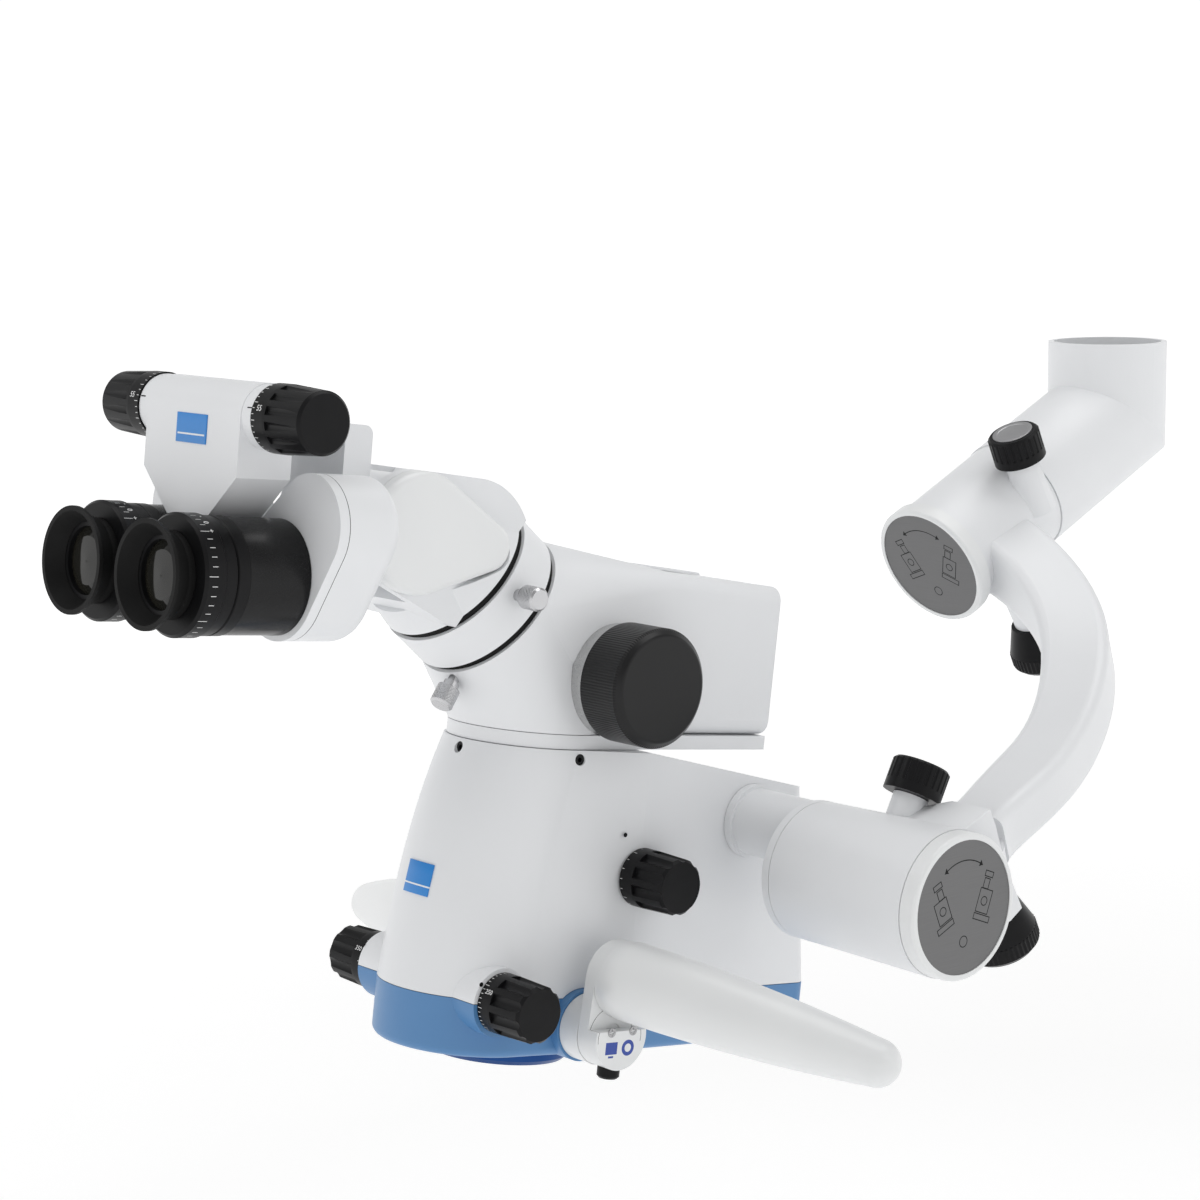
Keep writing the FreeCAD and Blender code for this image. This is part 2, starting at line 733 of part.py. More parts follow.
def end_cap(name, placement):
    """Cap with a rounded rim that closes a joint and holds the metal plate."""
    body = new_body(name)
    recess = cap_length - plate_thickness - 0.4
    turn(body, [(0, seam_gap), (cap_radius, seam_gap), (cap_radius, cap_length),
                (plate_radius + running_gap, cap_length), (plate_radius + running_gap, recess),
                (0, recess)])
    round_edges(body, cap_rounding / 2,
                lambda edge: is_round(edge) and edge.Curve.Radius > number_of(cap_radius) - 0.1
                and edge.Vertexes[0].Z > 1)
    body.Placement = placement
    return body


housing_end = pendulum_frame * shift(z=fixed_tube_length + housing_length)
drum_end = drum_frame * shift(z=drum_inner_end + drum_length)


def joint_caps():
    group_of("end_caps", [end_cap("upper_cap", housing_end), end_cap("lower_cap", drum_end)])
    seat = cap_length - plate_thickness - 0.4
    plates = [plain_cylinder("plate_%d" % i, plate_radius, plate_thickness, frame * shift(z=seat))
              for i, frame in enumerate((housing_end, drum_end))]
    group_of("disc_plates", plates)


def fluted_knob(label, radius, tip_radius, height, flute_radius, flutes, stud, placement):
    """Turned knob with flutes round its side and a stud or bar into the joint."""
    body = new_body(label)
    edge = 1.2
    if stud is None:
        turn(body, [(0, 0), (radius, 0), (radius, height * 0.25), (tip_radius + edge, height - edge),
                    (tip_radius, height), (0, height)])
    else:
        stud_size, stud_end = stud
        turn(body, [(0, stud_end), (stud_size, stud_end), (stud_size, 0), (radius, 0),
                    (radius, height - edge), (radius - edge, height), (0, height)])
    sketch = new_sketch(body, "XY_Plane", height)
    circle(sketch, radius + flute_radius * 0.45, 0, flute_radius)
    groove = pocket(body, sketch, height * 0.7)
    repeat_round(body, groove, flutes)
    keep(body, label, placement)


def brake_knobs():
    flute = size("brake_flute_radius", 0.9)
    swing_seat = swing_brake_reach + seam_gap
    swing_stud = -swing_brake_reach * 0.55
    fluted_knob("swing_brake_knob", brake_knob_radius, brake_knob_radius, brake_knob_height,
                flute, brake_flutes, (stud_radius, swing_stud),
                swing_brake_frame * shift(z=swing_seat))
    tilt_seat = drum_radius_outer + drum_boss_height + seam_gap
    tilt_stud = bushing_radius - tilt_seat + stud_gap
    fluted_knob("tilt_brake_knob", brake_knob_radius, brake_knob_radius, brake_knob_height,
                flute, brake_flutes, (stud_radius, tilt_stud),
                tilt_brake_frame * shift(z=tilt_seat))


def tension_knob(label, stud_end, placement):
    """Large cone-shaped knob that sets the drag of a joint."""
    body = new_body(label)
    rim = 2.5
    turn(body, [(0, stud_end), (stud_radius, stud_end), (stud_radius, 0), (tension_knob_top, 0),
                (tension_knob_radius, tension_knob_height - 4 * rim),
                (tension_knob_radius, tension_knob_height - rim),
                (tension_knob_radius - rim, tension_knob_height), (0, tension_knob_height)])
    keep(body, label, placement)


def tension_knobs():
    upper_seat = swing_tension_reach + seam_gap
    tension_knob("swing_tension_knob", bearing_radius - upper_seat + 3,
                 swing_tension_frame * shift(z=upper_seat))
    lower_seat = size("tilt_tension_reach", 13.5)
    tension_knob("tilt_tension_knob", -lower_seat,
                 tilt_tension_frame * shift(z=lower_seat + seam_gap))


def tilt_joint():
    """Spindle that turns in the drum, its bushes, and the offset shaft to the body."""
    body = new_body("tilt_spindle")
    flange_back = drum_inner_end - seam_gap
    flange_front = flange_back - spindle_flange
    end = drum_inner_end + spindle_length
    bevel = 2
    turn(body, [(0, flange_front), (drum_radius_inner - bevel, flange_front),
                (drum_radius_inner, flange_front + bevel), (drum_radius_inner, flange_back),
                (spindle_radius, flange_back), (spindle_radius, end), (0, end)])
    keep(body, "tilt_spindle", drum_frame)
    first = drum_inner_end + 2
    last = drum_inner_end + spindle_length - bushing_width
    rings = [ring_solid("bush_%d" % i, spindle_radius + running_gap, bushing_radius - running_gap,
                        bushing_width, drum_frame * shift(z=place))
             for i, place in enumerate((first, last))]
    group_of("tilt_bushings", rings)
    shaft = new_body("tilt_shaft")
    start = body_half_width + seam_gap
    ring_end = start + shaft_ring_width
    turn(shaft, [(0, start), (shaft_ring_radius, start), (shaft_ring_radius, ring_end),
                 (shaft_radius, ring_end), (shaft_radius, flange_front), (0, flange_front)])
    keep(shaft, "tilt_shaft", side_frame(head_frame, 0, shaft_offset))


def body_outline(sketch, inset, lean=0.0):
    """Plan of the microscope body: a round nose, leaning back above, that widens to straight sides."""
    side = body_half_width - inset
    back = body_back - inset
    nose = nose_radius - (nose_radius - nose_top_radius) * lean - inset
    centre = -nose_place + (nose_place - optic_place) * lean
    shoulder = -body_flat_end
    tangent_x = nose
    arc = Part.Arc(Vector(-number_of(nose), number_of(centre), 0),
                   Vector(0, number_of(centre) - number_of(nose), 0),
                   Vector(number_of(nose), number_of(centre), 0))
    front = sketch.addGeometry(arc, False)
    corners = [(tangent_x, centre), (side, shoulder), (side, back), (-side, back),
               (-side, shoulder), (-tangent_x, centre)]
    points = [Vector(number_of(x), number_of(y), 0) for x, y in corners]
    lines = [sketch.addGeometry(Part.LineSegment(points[i], points[i + 1]), False) for i in range(5)]
    for i in range(4):
        sketch.addConstraint(Sketcher.Constraint("Coincident", lines[i], 2, lines[i + 1], 1))
    sketch.addConstraint(Sketcher.Constraint("Coincident", front, 2, lines[0], 1))
    sketch.addConstraint(Sketcher.Constraint("Coincident", front, 1, lines[4], 2))
    for i, (x, y) in enumerate(corners[:5]):
        hold_point(sketch, lines[i], 1, x, y)
    hold_point(sketch, lines[4], 2, *corners[5])
    hold(sketch, "DistanceY", front, 3, centre)


def upright(edge):
    """Whether the edge runs mostly up and down."""
    if len(edge.Vertexes) != 2:
        return False
    run = edge.Vertexes[1].Point - edge.Vertexes[0].Point
    return abs(run.z) > 0.9 * run.Length


def body_housing():
    """White upper shell of the body, open below and cut to a slope on top."""
    body = new_body("body_housing")
    outlines = []
    for height, lean in ((-body_seam, 0.0), (-nose_middle, 0.32), (nose_upper, 0.62),
                         (body_top_front, 1.0)):
        sketch = new_sketch(body, "XY_Plane", height)
        body_outline(sketch, 0, lean)
        outlines.append(sketch)
    skin = body.newObject("PartDesign::AdditiveLoft", "body_housing_loft")
    skin.Profile = outlines[0]
    skin.Sections = outlines[1:]
    doc.recompute()
    slope = new_sketch(body, "YZ_Plane", -body_half_width - 5)
    start = -(optic_place - neck_radius)
    polygon(slope, [(start, body_top_front), (body_back + 20, body_top_back - 3),
                    (body_back + 20, body_top_front + 20), (start, body_top_front + 20)])
    pocket(body, slope, body_half_width * 2 + 10, True)
    draft = new_sketch(body, "YZ_Plane", -body_half_width - 5)
    polygon(draft, [(body_back, -body_seam - 1), (body_back - 18, body_top_back + 20),
                    (body_back + 20, body_top_back + 20), (body_back + 20, -body_seam - 1)])
    pocket(body, draft, body_half_width * 2 + 10, True)
    round_edges(body, body_rounding * 2,
                lambda edge: upright(edge) and edge.CenterOfMass.y > -50)
    focus_boss(body, -body_seam, True)
    space = new_sketch(body, "XY_Plane", -body_seam)
    body_space(space)
    pocket(body, space, body_seam + body_top_back - 2 * body_wall, True)
    hole = new_sketch(body, "XY_Plane", body_top_front + 1)
    circle(hole, 0, -optic_place, dovetail_radius - 6)
    pocket(body, hole, body_wall * 8)
    recess = new_sketch(body, "XY_Plane", body_top_front + 1)
    circle(recess, 0, -optic_place, dovetail_radius + running_gap)
    pocket(body, recess, dovetail_depth + 1)
    cross_hole(body, mag_back, mag_down, drum_bar_radius + running_gap)
    cross_hole(body, focus_back, body_seam, drum_bar_radius + running_gap)
    cross_hole(body, handle_back, handle_down, handle_boss_radius + seam_gap)
    for angle in SET_SCREW_TURNS:
        screw_hole(body, angle)
    keep(body, "body_housing", head_frame)


SET_SCREW_TURNS = (90, -90, 0)


def set_screw_frame(angle):
    """A frame at the dovetail whose Z axis points outward, to the front when the angle is 0."""
    height = body_top_front - dovetail_depth / 2
    return shift(y=-optic_place, z=height) * spin(Z_AXIS, angle) * spin(X_AXIS, 90)


def screw_hole(body, angle):
    sketch = body.newObject("Sketcher::SketchObject", body.Name + "_screw_hole")
    sketch.AttachmentSupport = [(origin_plane(body, "XY_Plane"), "")]
    sketch.MapMode = "FlatFace"
    sketch.AttachmentOffset = set_screw_frame(angle) * shift(z=body_half_width + 10)
    circle(sketch, 0, 0, set_screw_radius + running_gap)
    pocket(body, sketch, body_half_width + 10 - dovetail_radius + 2)


def set_screws():
    """Three grub screws that clamp the dovetail, each with a hexagon socket."""
    screws = []
    for i, angle in enumerate(SET_SCREW_TURNS):
        body = new_body("set_screw_%d" % i)
        start = dovetail_radius + seam_gap
        turn(body, [(0, start), (set_screw_radius, start), (set_screw_radius, start + set_screw_length),
                    (0, start + set_screw_length)])
        socket = new_sketch(body, "XY_Plane", start + set_screw_length)
        side = set_screw_radius * 0.5
        polygon(socket, [(side, 0), (side / 2, side * 0.866), (-side / 2, side * 0.866),
                         (-side, 0), (-side / 2, -side * 0.866), (side / 2, -side * 0.866)])
        pocket(body, socket, set_screw_length / 2)
        body.Placement = head_frame * set_screw_frame(angle)
        screws.append(body)
    group_of("set_screws", screws)


def body_space(sketch):
    """Room inside the body for the optics."""
    side = body_half_width - body_wall
    front = -nose_place - nose_radius / 3
    polygon(sketch, [(nose_radius / 2, front), (side - 6, -nose_place + 12), (side, -body_flat_end),
                     (side, body_back - 4 * body_wall), (-side, body_back - 4 * body_wall),
                     (-side, -body_flat_end), (-side + 6, -nose_place + 12),
                     (-nose_radius / 2, front)])


def cross_hole(body, back, down, radius):
    """A hole from side to side of the body."""
    sketch = new_sketch(body, "YZ_Plane", -body_half_width - 5)
    circle(sketch, -back, -down, radius)
    pocket(body, sketch, body_half_width * 2 + 10, True)


def half_disc(sketch, x, y, radius, upper):
    """A half round outline above or below its flat side."""
    centre = Vector(number_of(x), number_of(y), 0)
    start = 0 if upper else math.pi
    round_line = Part.Circle(centre, Vector(0, 0, 1), number_of(radius))
    arc = Part.ArcOfCircle(round_line, start, start + math.pi)
    curve = sketch.addGeometry(arc, False)
    flat = sketch.addGeometry(Part.LineSegment(arc.EndPoint, arc.StartPoint), False)
    sketch.addConstraint(Sketcher.Constraint("Coincident", curve, 2, flat, 1))
    sketch.addConstraint(Sketcher.Constraint("Coincident", flat, 2, curve, 1))
    sketch.addConstraint(Sketcher.Constraint("Horizontal", flat))
    sketch.addConstraint(Sketcher.Constraint("PointOnObject", curve, 3, flat))
    hold_point(sketch, curve, 3, x, y)
    hold_radius(sketch, curve, radius)


def focus_boss(body, seam, upper):
    """Half of the round bosses that carry the focus knobs; the other shell has the rest."""
    sketch = new_sketch(body, "YZ_Plane", -focus_boss_reach)
    half_disc(sketch, -focus_back, seam, focus_boss_radius, upper)
    pad(body, sketch, focus_boss_reach * 2)


def base_cover():
    """Blue lower shell with the objective opening and the bosses of focus knobs and handles."""
    body = new_body("base_cover")
    sketch = new_sketch(body, "XY_Plane", -body_bottom)
    body_outline(sketch, 0)
    pad(body, sketch, body_bottom - body_seam - seam_gap)
    round_edges(body, body_rounding * 2,
                lambda edge: upright(edge) and edge.CenterOfMass.y > -50)
    round_edges(body, body_rounding, lambda edge: at_height(edge, -body_bottom))
    focus_boss(body, -body_seam - seam_gap, False)
    handle_boss = new_sketch(body, "YZ_Plane", -handle_boss_reach)
    circle(handle_boss, -handle_back, -handle_down, handle_boss_radius)
    pad(body, handle_boss, handle_boss_reach * 2)
    space = new_sketch(body, "XY_Plane", -body_seam + 20)
    body_space(space)
    pocket(body, space, body_bottom - body_seam - body_wall + 20)
    guide = new_sketch(body, "XY_Plane", -body_bottom + body_wall - 1)
    circle(guide, 0, -optic_place, cell_radius)
    circle(guide, 0, -optic_place, cell_radius - 2 + running_gap)
    pad(body, guide, guide_height + 1)
    room = new_sketch(body, "XY_Plane", -body_bottom - 10)
    circle(room, 0, -optic_place, objective_radius + 2)
    pocket(body, room, 10, True)
    hole = new_sketch(body, "XY_Plane", -body_bottom - 10)
    circle(hole, 0, -optic_place, objective_radius - 5)
    pocket(body, hole, body_wall * 2 + 10, True)
    cross_hole(body, focus_back, body_seam, drum_bar_radius + running_gap)
    cross_hole(body, handle_back, handle_down, handle_pin_radius + running_gap)
    keep(body, "base_cover", head_frame)


def objective():
    """Objective ring under the body, its front lens and the focusing cell above."""
    ring = new_body("objective_ring")
    top = -body_bottom - seam_gap
    low = top - objective_height
    inner = lens_radius + running_gap
    turn(ring, [(inner, low), (objective_radius - 2, low), (objective_radius, low + 2),
                (objective_radius, top), (lens_radius - 2, top), (lens_radius - 2, top - 1),
                (inner, top - 1)])
    place = head_frame * shift(y=-optic_place)
    keep(ring, "objective_ring", place)
    lens = new_body("objective_lens")
    turn(lens, [(0, low + 1), (lens_radius - 4, low + 0.8), (lens_radius, low + 2),
                (lens_radius, top - 1), (0, top - 1)])
    keep(lens, "objective_lens", place)
    cell = new_body("focus_lens_cell")
    base = -cell_place - cell_height / 2
    peak = base + cell_height
    turn(cell, [(lens_radius - 2, base), (cell_radius - 2, base), (cell_radius - 2, peak),
                (lens_radius - 2, peak)])
    keep(cell, "focus_lens_cell", place)


def control_knobs():
    """Magnification knobs on their drum, and focus knobs on their cross shaft."""
    drum = new_body("magnification_drum")
    half = mag_drum_length / 2
    reach = body_half_width + seam_gap
    turn(drum, [(0, -reach), (drum_bar_radius, -reach), (drum_bar_radius, -half),
                (mag_drum_radius, -half), (mag_drum_radius, half), (drum_bar_radius, half),
                (drum_bar_radius, reach), (0, reach)])
    keep(drum, "magnification_drum", side_frame(head_frame, -mag_back, -mag_down))
    for side, word in ((1, "right"), (-1, "left")):
        frame = side_frame(head_frame, -mag_back, -mag_down, side) * shift(z=reach)
        fluted_knob("mag_knob_" + word, knob_radius, knob_tip_radius, knob_length,
                    knob_flute_radius, knob_flutes, None, frame)
    shaft = new_body("focus_shaft")
    boss = focus_boss_reach + seam_gap
    turn(shaft, [(0, -boss), (drum_bar_radius, -boss), (drum_bar_radius, boss), (0, boss)])
    keep(shaft, "focus_shaft", side_frame(head_frame, -focus_back, -body_seam))
    for side, word in ((1, "right"), (-1, "left")):
        frame = side_frame(head_frame, -focus_back, -body_seam, side) * shift(z=boss)
        fluted_knob("focus_knob_" + word, knob_radius, knob_tip_radius, knob_length,
                    knob_flute_radius, knob_flutes, None, frame)


def dovetail_and_neck_base():
    """Round dovetail sunk in the body, and the base plate of the upper housing on top of it."""
    body = new_body("dovetail_plate")
    floor = body_top_front - dovetail_depth
    inner = dovetail_radius - 6
    turn(body, [(inner, floor + seam_gap), (dovetail_radius, floor + seam_gap),
                (dovetail_radius - dovetail_taper, body_top_front),
                (inner, body_top_front)])
    keep(body, "dovetail_plate", head_frame * shift(y=-optic_place))
    base = new_body("neck_base")
    sketch = new_sketch(base, "XY_Plane", body_top_front + seam_gap)
    neck_outline(sketch, 0)
    pad(base, sketch, base_height - seam_gap)
    hole = new_sketch(base, "XY_Plane", body_top_front)
    circle(hole, 0, -optic_place, inner)
    pocket(base, hole, base_height + 5, True)
    round_edges(base, 2.0, lambda edge: upright(edge) and edge.CenterOfMass.y > 0)
    keep(base, "neck_base", head_frame)


def neck_outline(sketch, inset):
    """Half round in front, square behind."""
    radius = neck_radius - inset
    side = box_half_width - inset
    back = box_back - inset
    centre = -optic_place
    arc = Part.Arc(Vector(-number_of(radius), number_of(centre), 0),
                   Vector(0, number_of(centre) - number_of(radius), 0),
                   Vector(number_of(radius), number_of(centre), 0))
    front = sketch.addGeometry(arc, False)
    corners = [(radius, centre), (side, back), (-side, back), (-radius, centre)]
    points = [Vector(number_of(x), number_of(y), 0) for x, y in corners]
    lines = [sketch.addGeometry(Part.LineSegment(points[i], points[i + 1]), False) for i in range(3)]
    for i in range(2):
        sketch.addConstraint(Sketcher.Constraint("Coincident", lines[i], 2, lines[i + 1], 1))
    sketch.addConstraint(Sketcher.Constraint("Coincident", front, 2, lines[0], 1))
    sketch.addConstraint(Sketcher.Constraint("Coincident", front, 1, lines[2], 2))
    for i, (x, y) in enumerate(corners[:3]):
        hold_point(sketch, lines[i], 1, x, y)
    hold_point(sketch, lines[2], 2, *corners[3])
    hold(sketch, "DistanceY", front, 3, centre)


def section(name, placement, draw):
    """A free sketch across a lofted shape."""
    sketch = doc.addObject("Sketcher::SketchObject", name)
    draw(sketch)
    sketch.Placement = placement
    return sketch


def loft(name, sections):
    item = doc.addObject("Part::Loft", name)
    item.Sections = sections
    item.Solid = True
    item.Ruled = True
    doc.recompute()
    return item


def neck_housing():
    """Upper housing: a square box behind, and a round neck that bends up to the inclined ring."""
    floor = body_top_front + base_height + seam_gap
    ring_end = -seal_height / 2 - seam_gap
    local_ring = shift(y=-ring_forward, z=ring_up) * spin(X_AXIS, ring_tilt) * shift(z=ring_end)
    foot = section("neck_foot", shift(y=-optic_place, z=floor) * spin(Z_AXIS, 90),
                   lambda sketch: circle(sketch, 0, 0, neck_radius))
    mouth = section("neck_mouth", local_ring * spin(Z_AXIS, 90), lambda sketch: circle(sketch, 0, 0, ring_radius))
    bend = loft("neck_bend", [foot, mouth])
    half = ring_radius * 0.985
    corners = ((-half, -half), (half, -half), (half, half), (-half, half))
    square = section("neck_square", local_ring,
                     lambda sketch: rounded_rectangle(sketch, corners, half * 0.98))
    front_top = box_top + 4
    box_corners = ((-box_half_width, floor), (box_half_width, floor),
                   (box_half_width, front_top), (-box_half_width, front_top))
    box_frame = shift(y=-box_front) * spin(X_AXIS, 90)
    box_face = section("neck_box_face", box_frame,
                       lambda sketch: rounded_rectangle(sketch, box_corners, box_rounding))
    cheek = loft("neck_cheek", [square, box_face])
    back_frame = shift(y=box_back) * spin(X_AXIS, 90)
    back_corners = ((-box_half_width, floor), (box_half_width, floor),
                    (box_half_width, box_top), (-box_half_width, box_top))
    back_face = section("neck_back_face", back_frame,
                        lambda sketch: rounded_rectangle(sketch, back_corners, box_rounding))
    box = loft("neck_box", [box_face, back_face])
    below = plain_box("neck_below", 200, 300, 60, shift(x=-100, y=-250, z=floor - 60))
    solid = cut("neck_skin", fused("neck_solid", [bend, cheek, box]), below)
    bore = 25
    collar_seat = port_collar_start - seam_gap
    space = fused("neck_space", [
        plain_cylinder("neck_bore", bore, 62, shift(y=-optic_place, z=floor - 1)),
        plain_cylinder("ring_bore", bore, 70, local_ring * shift(z=-60)),
        plain_cylinder("ring_spigot_bore", spigot_radius + running_gap, spigot_length + seam_gap + 1,
                       local_ring * shift(z=-spigot_length - seam_gap)),
        plain_cylinder("port_bore", collar_radius - 6, 40, side_frame(shift(), -port_back, port_up)),
        plain_cylinder("port_seat", collar_radius + running_gap, 30,
                       side_frame(shift(), -port_back, port_up) * shift(z=collar_seat)),
        plain_cylinder("neck_screw_hole", thumb_stem_radius + running_gap, 40,
                       neck_screw_place * shift(z=-20))])
    item = cut("neck_housing", solid, space)
    keep(item, "neck_housing", head_frame)


port_collar_start = size("port_collar_start", 29.0)
port_collar_end = size("port_collar_end", 42.5)
port_cap_end = size("port_cap_end", 68.0)
spigot_radius = size("spigot_radius", 31.0)
spigot_length = size("spigot_length", 9.0)
tube_spigot_length = size("tube_spigot_length", 16.0)
thumb_stem_radius = size("thumb_stem_radius", 2.5)
neck_screw_reach = size("neck_screw_reach", 37.5)
neck_screw_down = size("neck_screw_down", 5.0)
neck_screw_place = (shift(y=-ring_forward, z=ring_up) * spin(X_AXIS, ring_tilt)
                    * shift(z=-neck_screw_down) * spin(Z_AXIS, 10) * shift(y=-neck_screw_reach) * spin(X_AXIS, 90))


def lid_and_port():
    """Small lid on the box, bright collar of the side port and its screwed black cap."""
    lid = new_body("neck_lid")
    sketch = new_sketch(lid, "XY_Plane")
    half = lid_width / 2
    rounded_rectangle(sketch, ((-half, -lid_length / 2), (half, -lid_length / 2),
                               (half, lid_length / 2), (-half, lid_length / 2)), 3.0)
    pad(lid, sketch, lid_height)
    round_edges(lid, 0.8, lambda edge: at_height(edge, lid_height))
    slope = math.degrees(math.atan2(4.0, number_of(box_front + box_back)))
    top = shift(y=-30, z=box_top + seam_gap + 2.7) * spin(X_AXIS, -slope)
    keep(lid, "neck_lid", head_frame * top)
    collar = new_body("port_collar")
    bore = collar_radius - 6
    turn(collar, [(bore, port_collar_start), (collar_radius, port_collar_start),
                  (collar_radius, port_collar_end), (bore, port_collar_end)])
    frame = side_frame(head_frame, -port_back, port_up)
    keep(collar, "port_collar", frame)
    cap = new_body("port_cap")
    start = port_collar_end + seam_gap
    turn(cap, [(0, start - 8), (bore - running_gap, start - 8), (bore - running_gap, start),
               (port_cap_radius - 1, start), (port_cap_radius, start + 1),
               (port_cap_radius, port_cap_end - 3), (port_cap_radius - 3, port_cap_end),
               (0, port_cap_end)])
    round_edges(cap, 2.0, lambda edge: is_round(edge) and at_height(edge, port_cap_end))
    keep(cap, "port_cap", frame)


def thumb_screw(label, reach, placement):
    """Knurled screw with a bright head on a thin neck."""
    body = new_body(label)
    stem = spigot_radius + 4.5 - reach
    turn(body, [(0, stem), (thumb_stem_radius, stem), (thumb_stem_radius, 3), (3.6, 3), (3.6, 5.5),
                (screw_radius, 6), (screw_radius, screw_length - 1),
                (screw_radius - 1, screw_length), (0, screw_length)])
    keep(body, label, placement)


ring_start = seal_height / 2 + seam_gap
ring_top = ring_start + ring_height
seal_start = ring_top + seam_gap
tube_start = seal_start + seal_height + seam_gap
ring_screw_place = (ring_frame * shift(z=ring_start + 11.5) * spin(Z_AXIS, 88)
                    * shift(y=-ring_radius) * spin(X_AXIS, 90))


def rotation_ring():
    """Ring that turns on the neck, with its two black seals and the screw that locks the tube."""
    body = new_body("rotation_ring")
    bore = 24
    seat = ring_top - tube_spigot_length
    turn(body, [(bore, -spigot_length), (spigot_radius, -spigot_length),
                (spigot_radius, ring_start), (ring_radius, ring_start), (ring_radius, ring_top),
                (spigot_radius + running_gap, ring_top), (spigot_radius + running_gap, seat),
                (bore, seat)])
    hole = body.newObject("Sketcher::SketchObject", "ring_screw_hole")
    hole.AttachmentSupport = [(origin_plane(body, "XY_Plane"), "")]
    hole.MapMode = "FlatFace"
    hole.AttachmentOffset = ring_frame.inverse() * ring_screw_place * shift(z=5)
    circle(hole, 0, 0, thumb_stem_radius + running_gap)
    pocket(body, hole, 16)
    keep(body, "rotation_ring", ring_frame)
    low = ring_solid("seal_low", spigot_radius + seam_gap, seal_radius, seal_height,
                     ring_frame * shift(z=-seal_height / 2))
    high = ring_solid("seal_high", spigot_radius + seam_gap, seal_radius, seal_height,
                      ring_frame * shift(z=seal_start))
    group_of("ring_seals", [low, high])
    thumb_screw("ring_thumbscrew", ring_radius, ring_screw_place)
    thumb_screw("neck_thumbscrew", neck_screw_reach, head_frame * neck_screw_place)


def tube_body():
    """Yoke of the inclinable tube: round at the ring, with two cheeks round the hinge."""
    hinge = shift(y=-hinge_across, z=hinge_along)
    foot = section("tube_foot", shift(z=tube_start) * spin(Z_AXIS, 90),
                   lambda sketch: circle(sketch, 0, 0, ring_radius - 0.4))
    waist = section("tube_waist", shift(y=-2, z=tube_start + 14) * spin(Z_AXIS, 90),
                    lambda sketch: circle(sketch, 0, 0, 33))
    cone = loft("tube_cone", [foot, waist])
    yoke = new_body("tube_yoke")
    sketch = new_sketch(yoke, "YZ_Plane", -yoke_half_width)
    belt(sketch, -hinge_across, hinge_along, cover_radius, 0, tube_start + 14, 32)
    pad(yoke, sketch, yoke_half_width * 2)
    crop = plain_box("tube_crop", 120, 120, 60, shift(x=-60, y=-60, z=tube_start - 60))
    spigot = plain_cylinder("tube_spigot", spigot_radius, tube_spigot_length,
                            shift(z=tube_start - tube_spigot_length + seam_gap))
    solid = fused("tube_skin", [cut("tube_cropped", fused("tube_solid", [cone, yoke]), crop), spigot])
    half = cheek_inside
    room = side_frame(hinge, 0, 0) * shift(z=-half)
    mouth = hinge_along - 8
    space = fused("tube_space", [
        plain_cylinder("hub_room", hub_radius + seam_gap * 2, half * 2, room),
        plain_box("hub_mouth", half * 2, 90, 50, shift(x=-half, y=-60, z=mouth)),
        plain_box("plate_room", half * 2, 50, 20,
                  shift(x=-half, y=-hinge_across - 50, z=hinge_along - 20)),
        plain_cylinder("tube_bore", 20, 60, shift(z=tube_start - tube_spigot_length)),
        cover_room(1), cover_room(-1),
        plain_cylinder("pin_hole", pin_radius + running_gap, yoke_half_width * 2,
                       side_frame(hinge, 0, 0) * shift(z=-yoke_half_width))])
    keep(cut("tube_body", solid, space), "tube_body", ring_frame)


cheek_inside = size("cheek_inside", 23.5)
cover_tail = size("cover_tail", 37.5)
cover_tail_radius = size("cover_tail_radius", 10.5)


cover_frame = Placement(hinge_point, Rotation(X_AXIS, -14.7))


def cover_room(side):
    """Room for a hinge cover in the side of the yoke."""
    body = new_body("cover_room_right" if side > 0 else "cover_room_left")
    inside = yoke_half_width + seam_gap / 2
    start = inside if side > 0 else -inside - 20
    sketch = new_sketch(body, "YZ_Plane", start)
    belt(sketch, 0, 0, cover_radius + 5, cover_tail, 0, cover_tail_radius + seam_gap)
    pad(body, sketch, Size(20, "20"))
    body.Placement = ring_frame.inverse() * cover_frame
    return body


def hinge_covers():
    """Two plain covers on the cheeks, round over the hinge and tapering back to a blunt end."""
    covers = []
    for side, word in ((1, "right"), (-1, "left")):
        body = new_body("hinge_cover_" + word)
        start = yoke_half_width + seam_gap
        lift = start if side > 0 else -start - cover_thickness
        sketch = new_sketch(body, "YZ_Plane", lift)
        belt(sketch, 0, 0, cover_radius, cover_tail, 0, cover_tail_radius)
        pad(body, sketch, cover_thickness)
        outer = (start + cover_thickness) * side
        round_edges(body, 3.0, lambda edge: all(abs(vertex.X - number_of(outer)) < 0.01
                                                for vertex in edge.Vertexes))
        body.Placement = cover_frame
        covers.append(body)
    group_of("hinge_covers", covers)


def hinge_inside():
    """Pin through the cheeks and the half-speed mirror that rides on it."""
    length = yoke_half_width * 2
    pin = plain_cylinder("hinge_pin", pin_radius, length,
                         side_frame(hinge_frame, 0, 0) * shift(z=-yoke_half_width))
    keep(pin, "hinge_pin")
    body = new_body("tube_mirror")
    sketch = new_sketch(body, "YZ_Plane", -mirror_width / 2)
    polygon(sketch, [(-16, -1.5), (16, -1.5), (16, 1.5), (-16, 1.5)])
    pad(body, sketch, mirror_width)
    boss = new_sketch(body, "YZ_Plane", -mirror_width / 2)
    circle(boss, 0, 0, pin_radius + 3)
    pad(body, boss, mirror_width)
    bore = new_sketch(body, "YZ_Plane", -mirror_width)
    circle(bore, 0, 0, pin_radius + running_gap)
    pocket(body, bore, mirror_width * 2, True)
    keep(body, "tube_mirror", Placement(hinge_point, Rotation(X_AXIS, 65)))


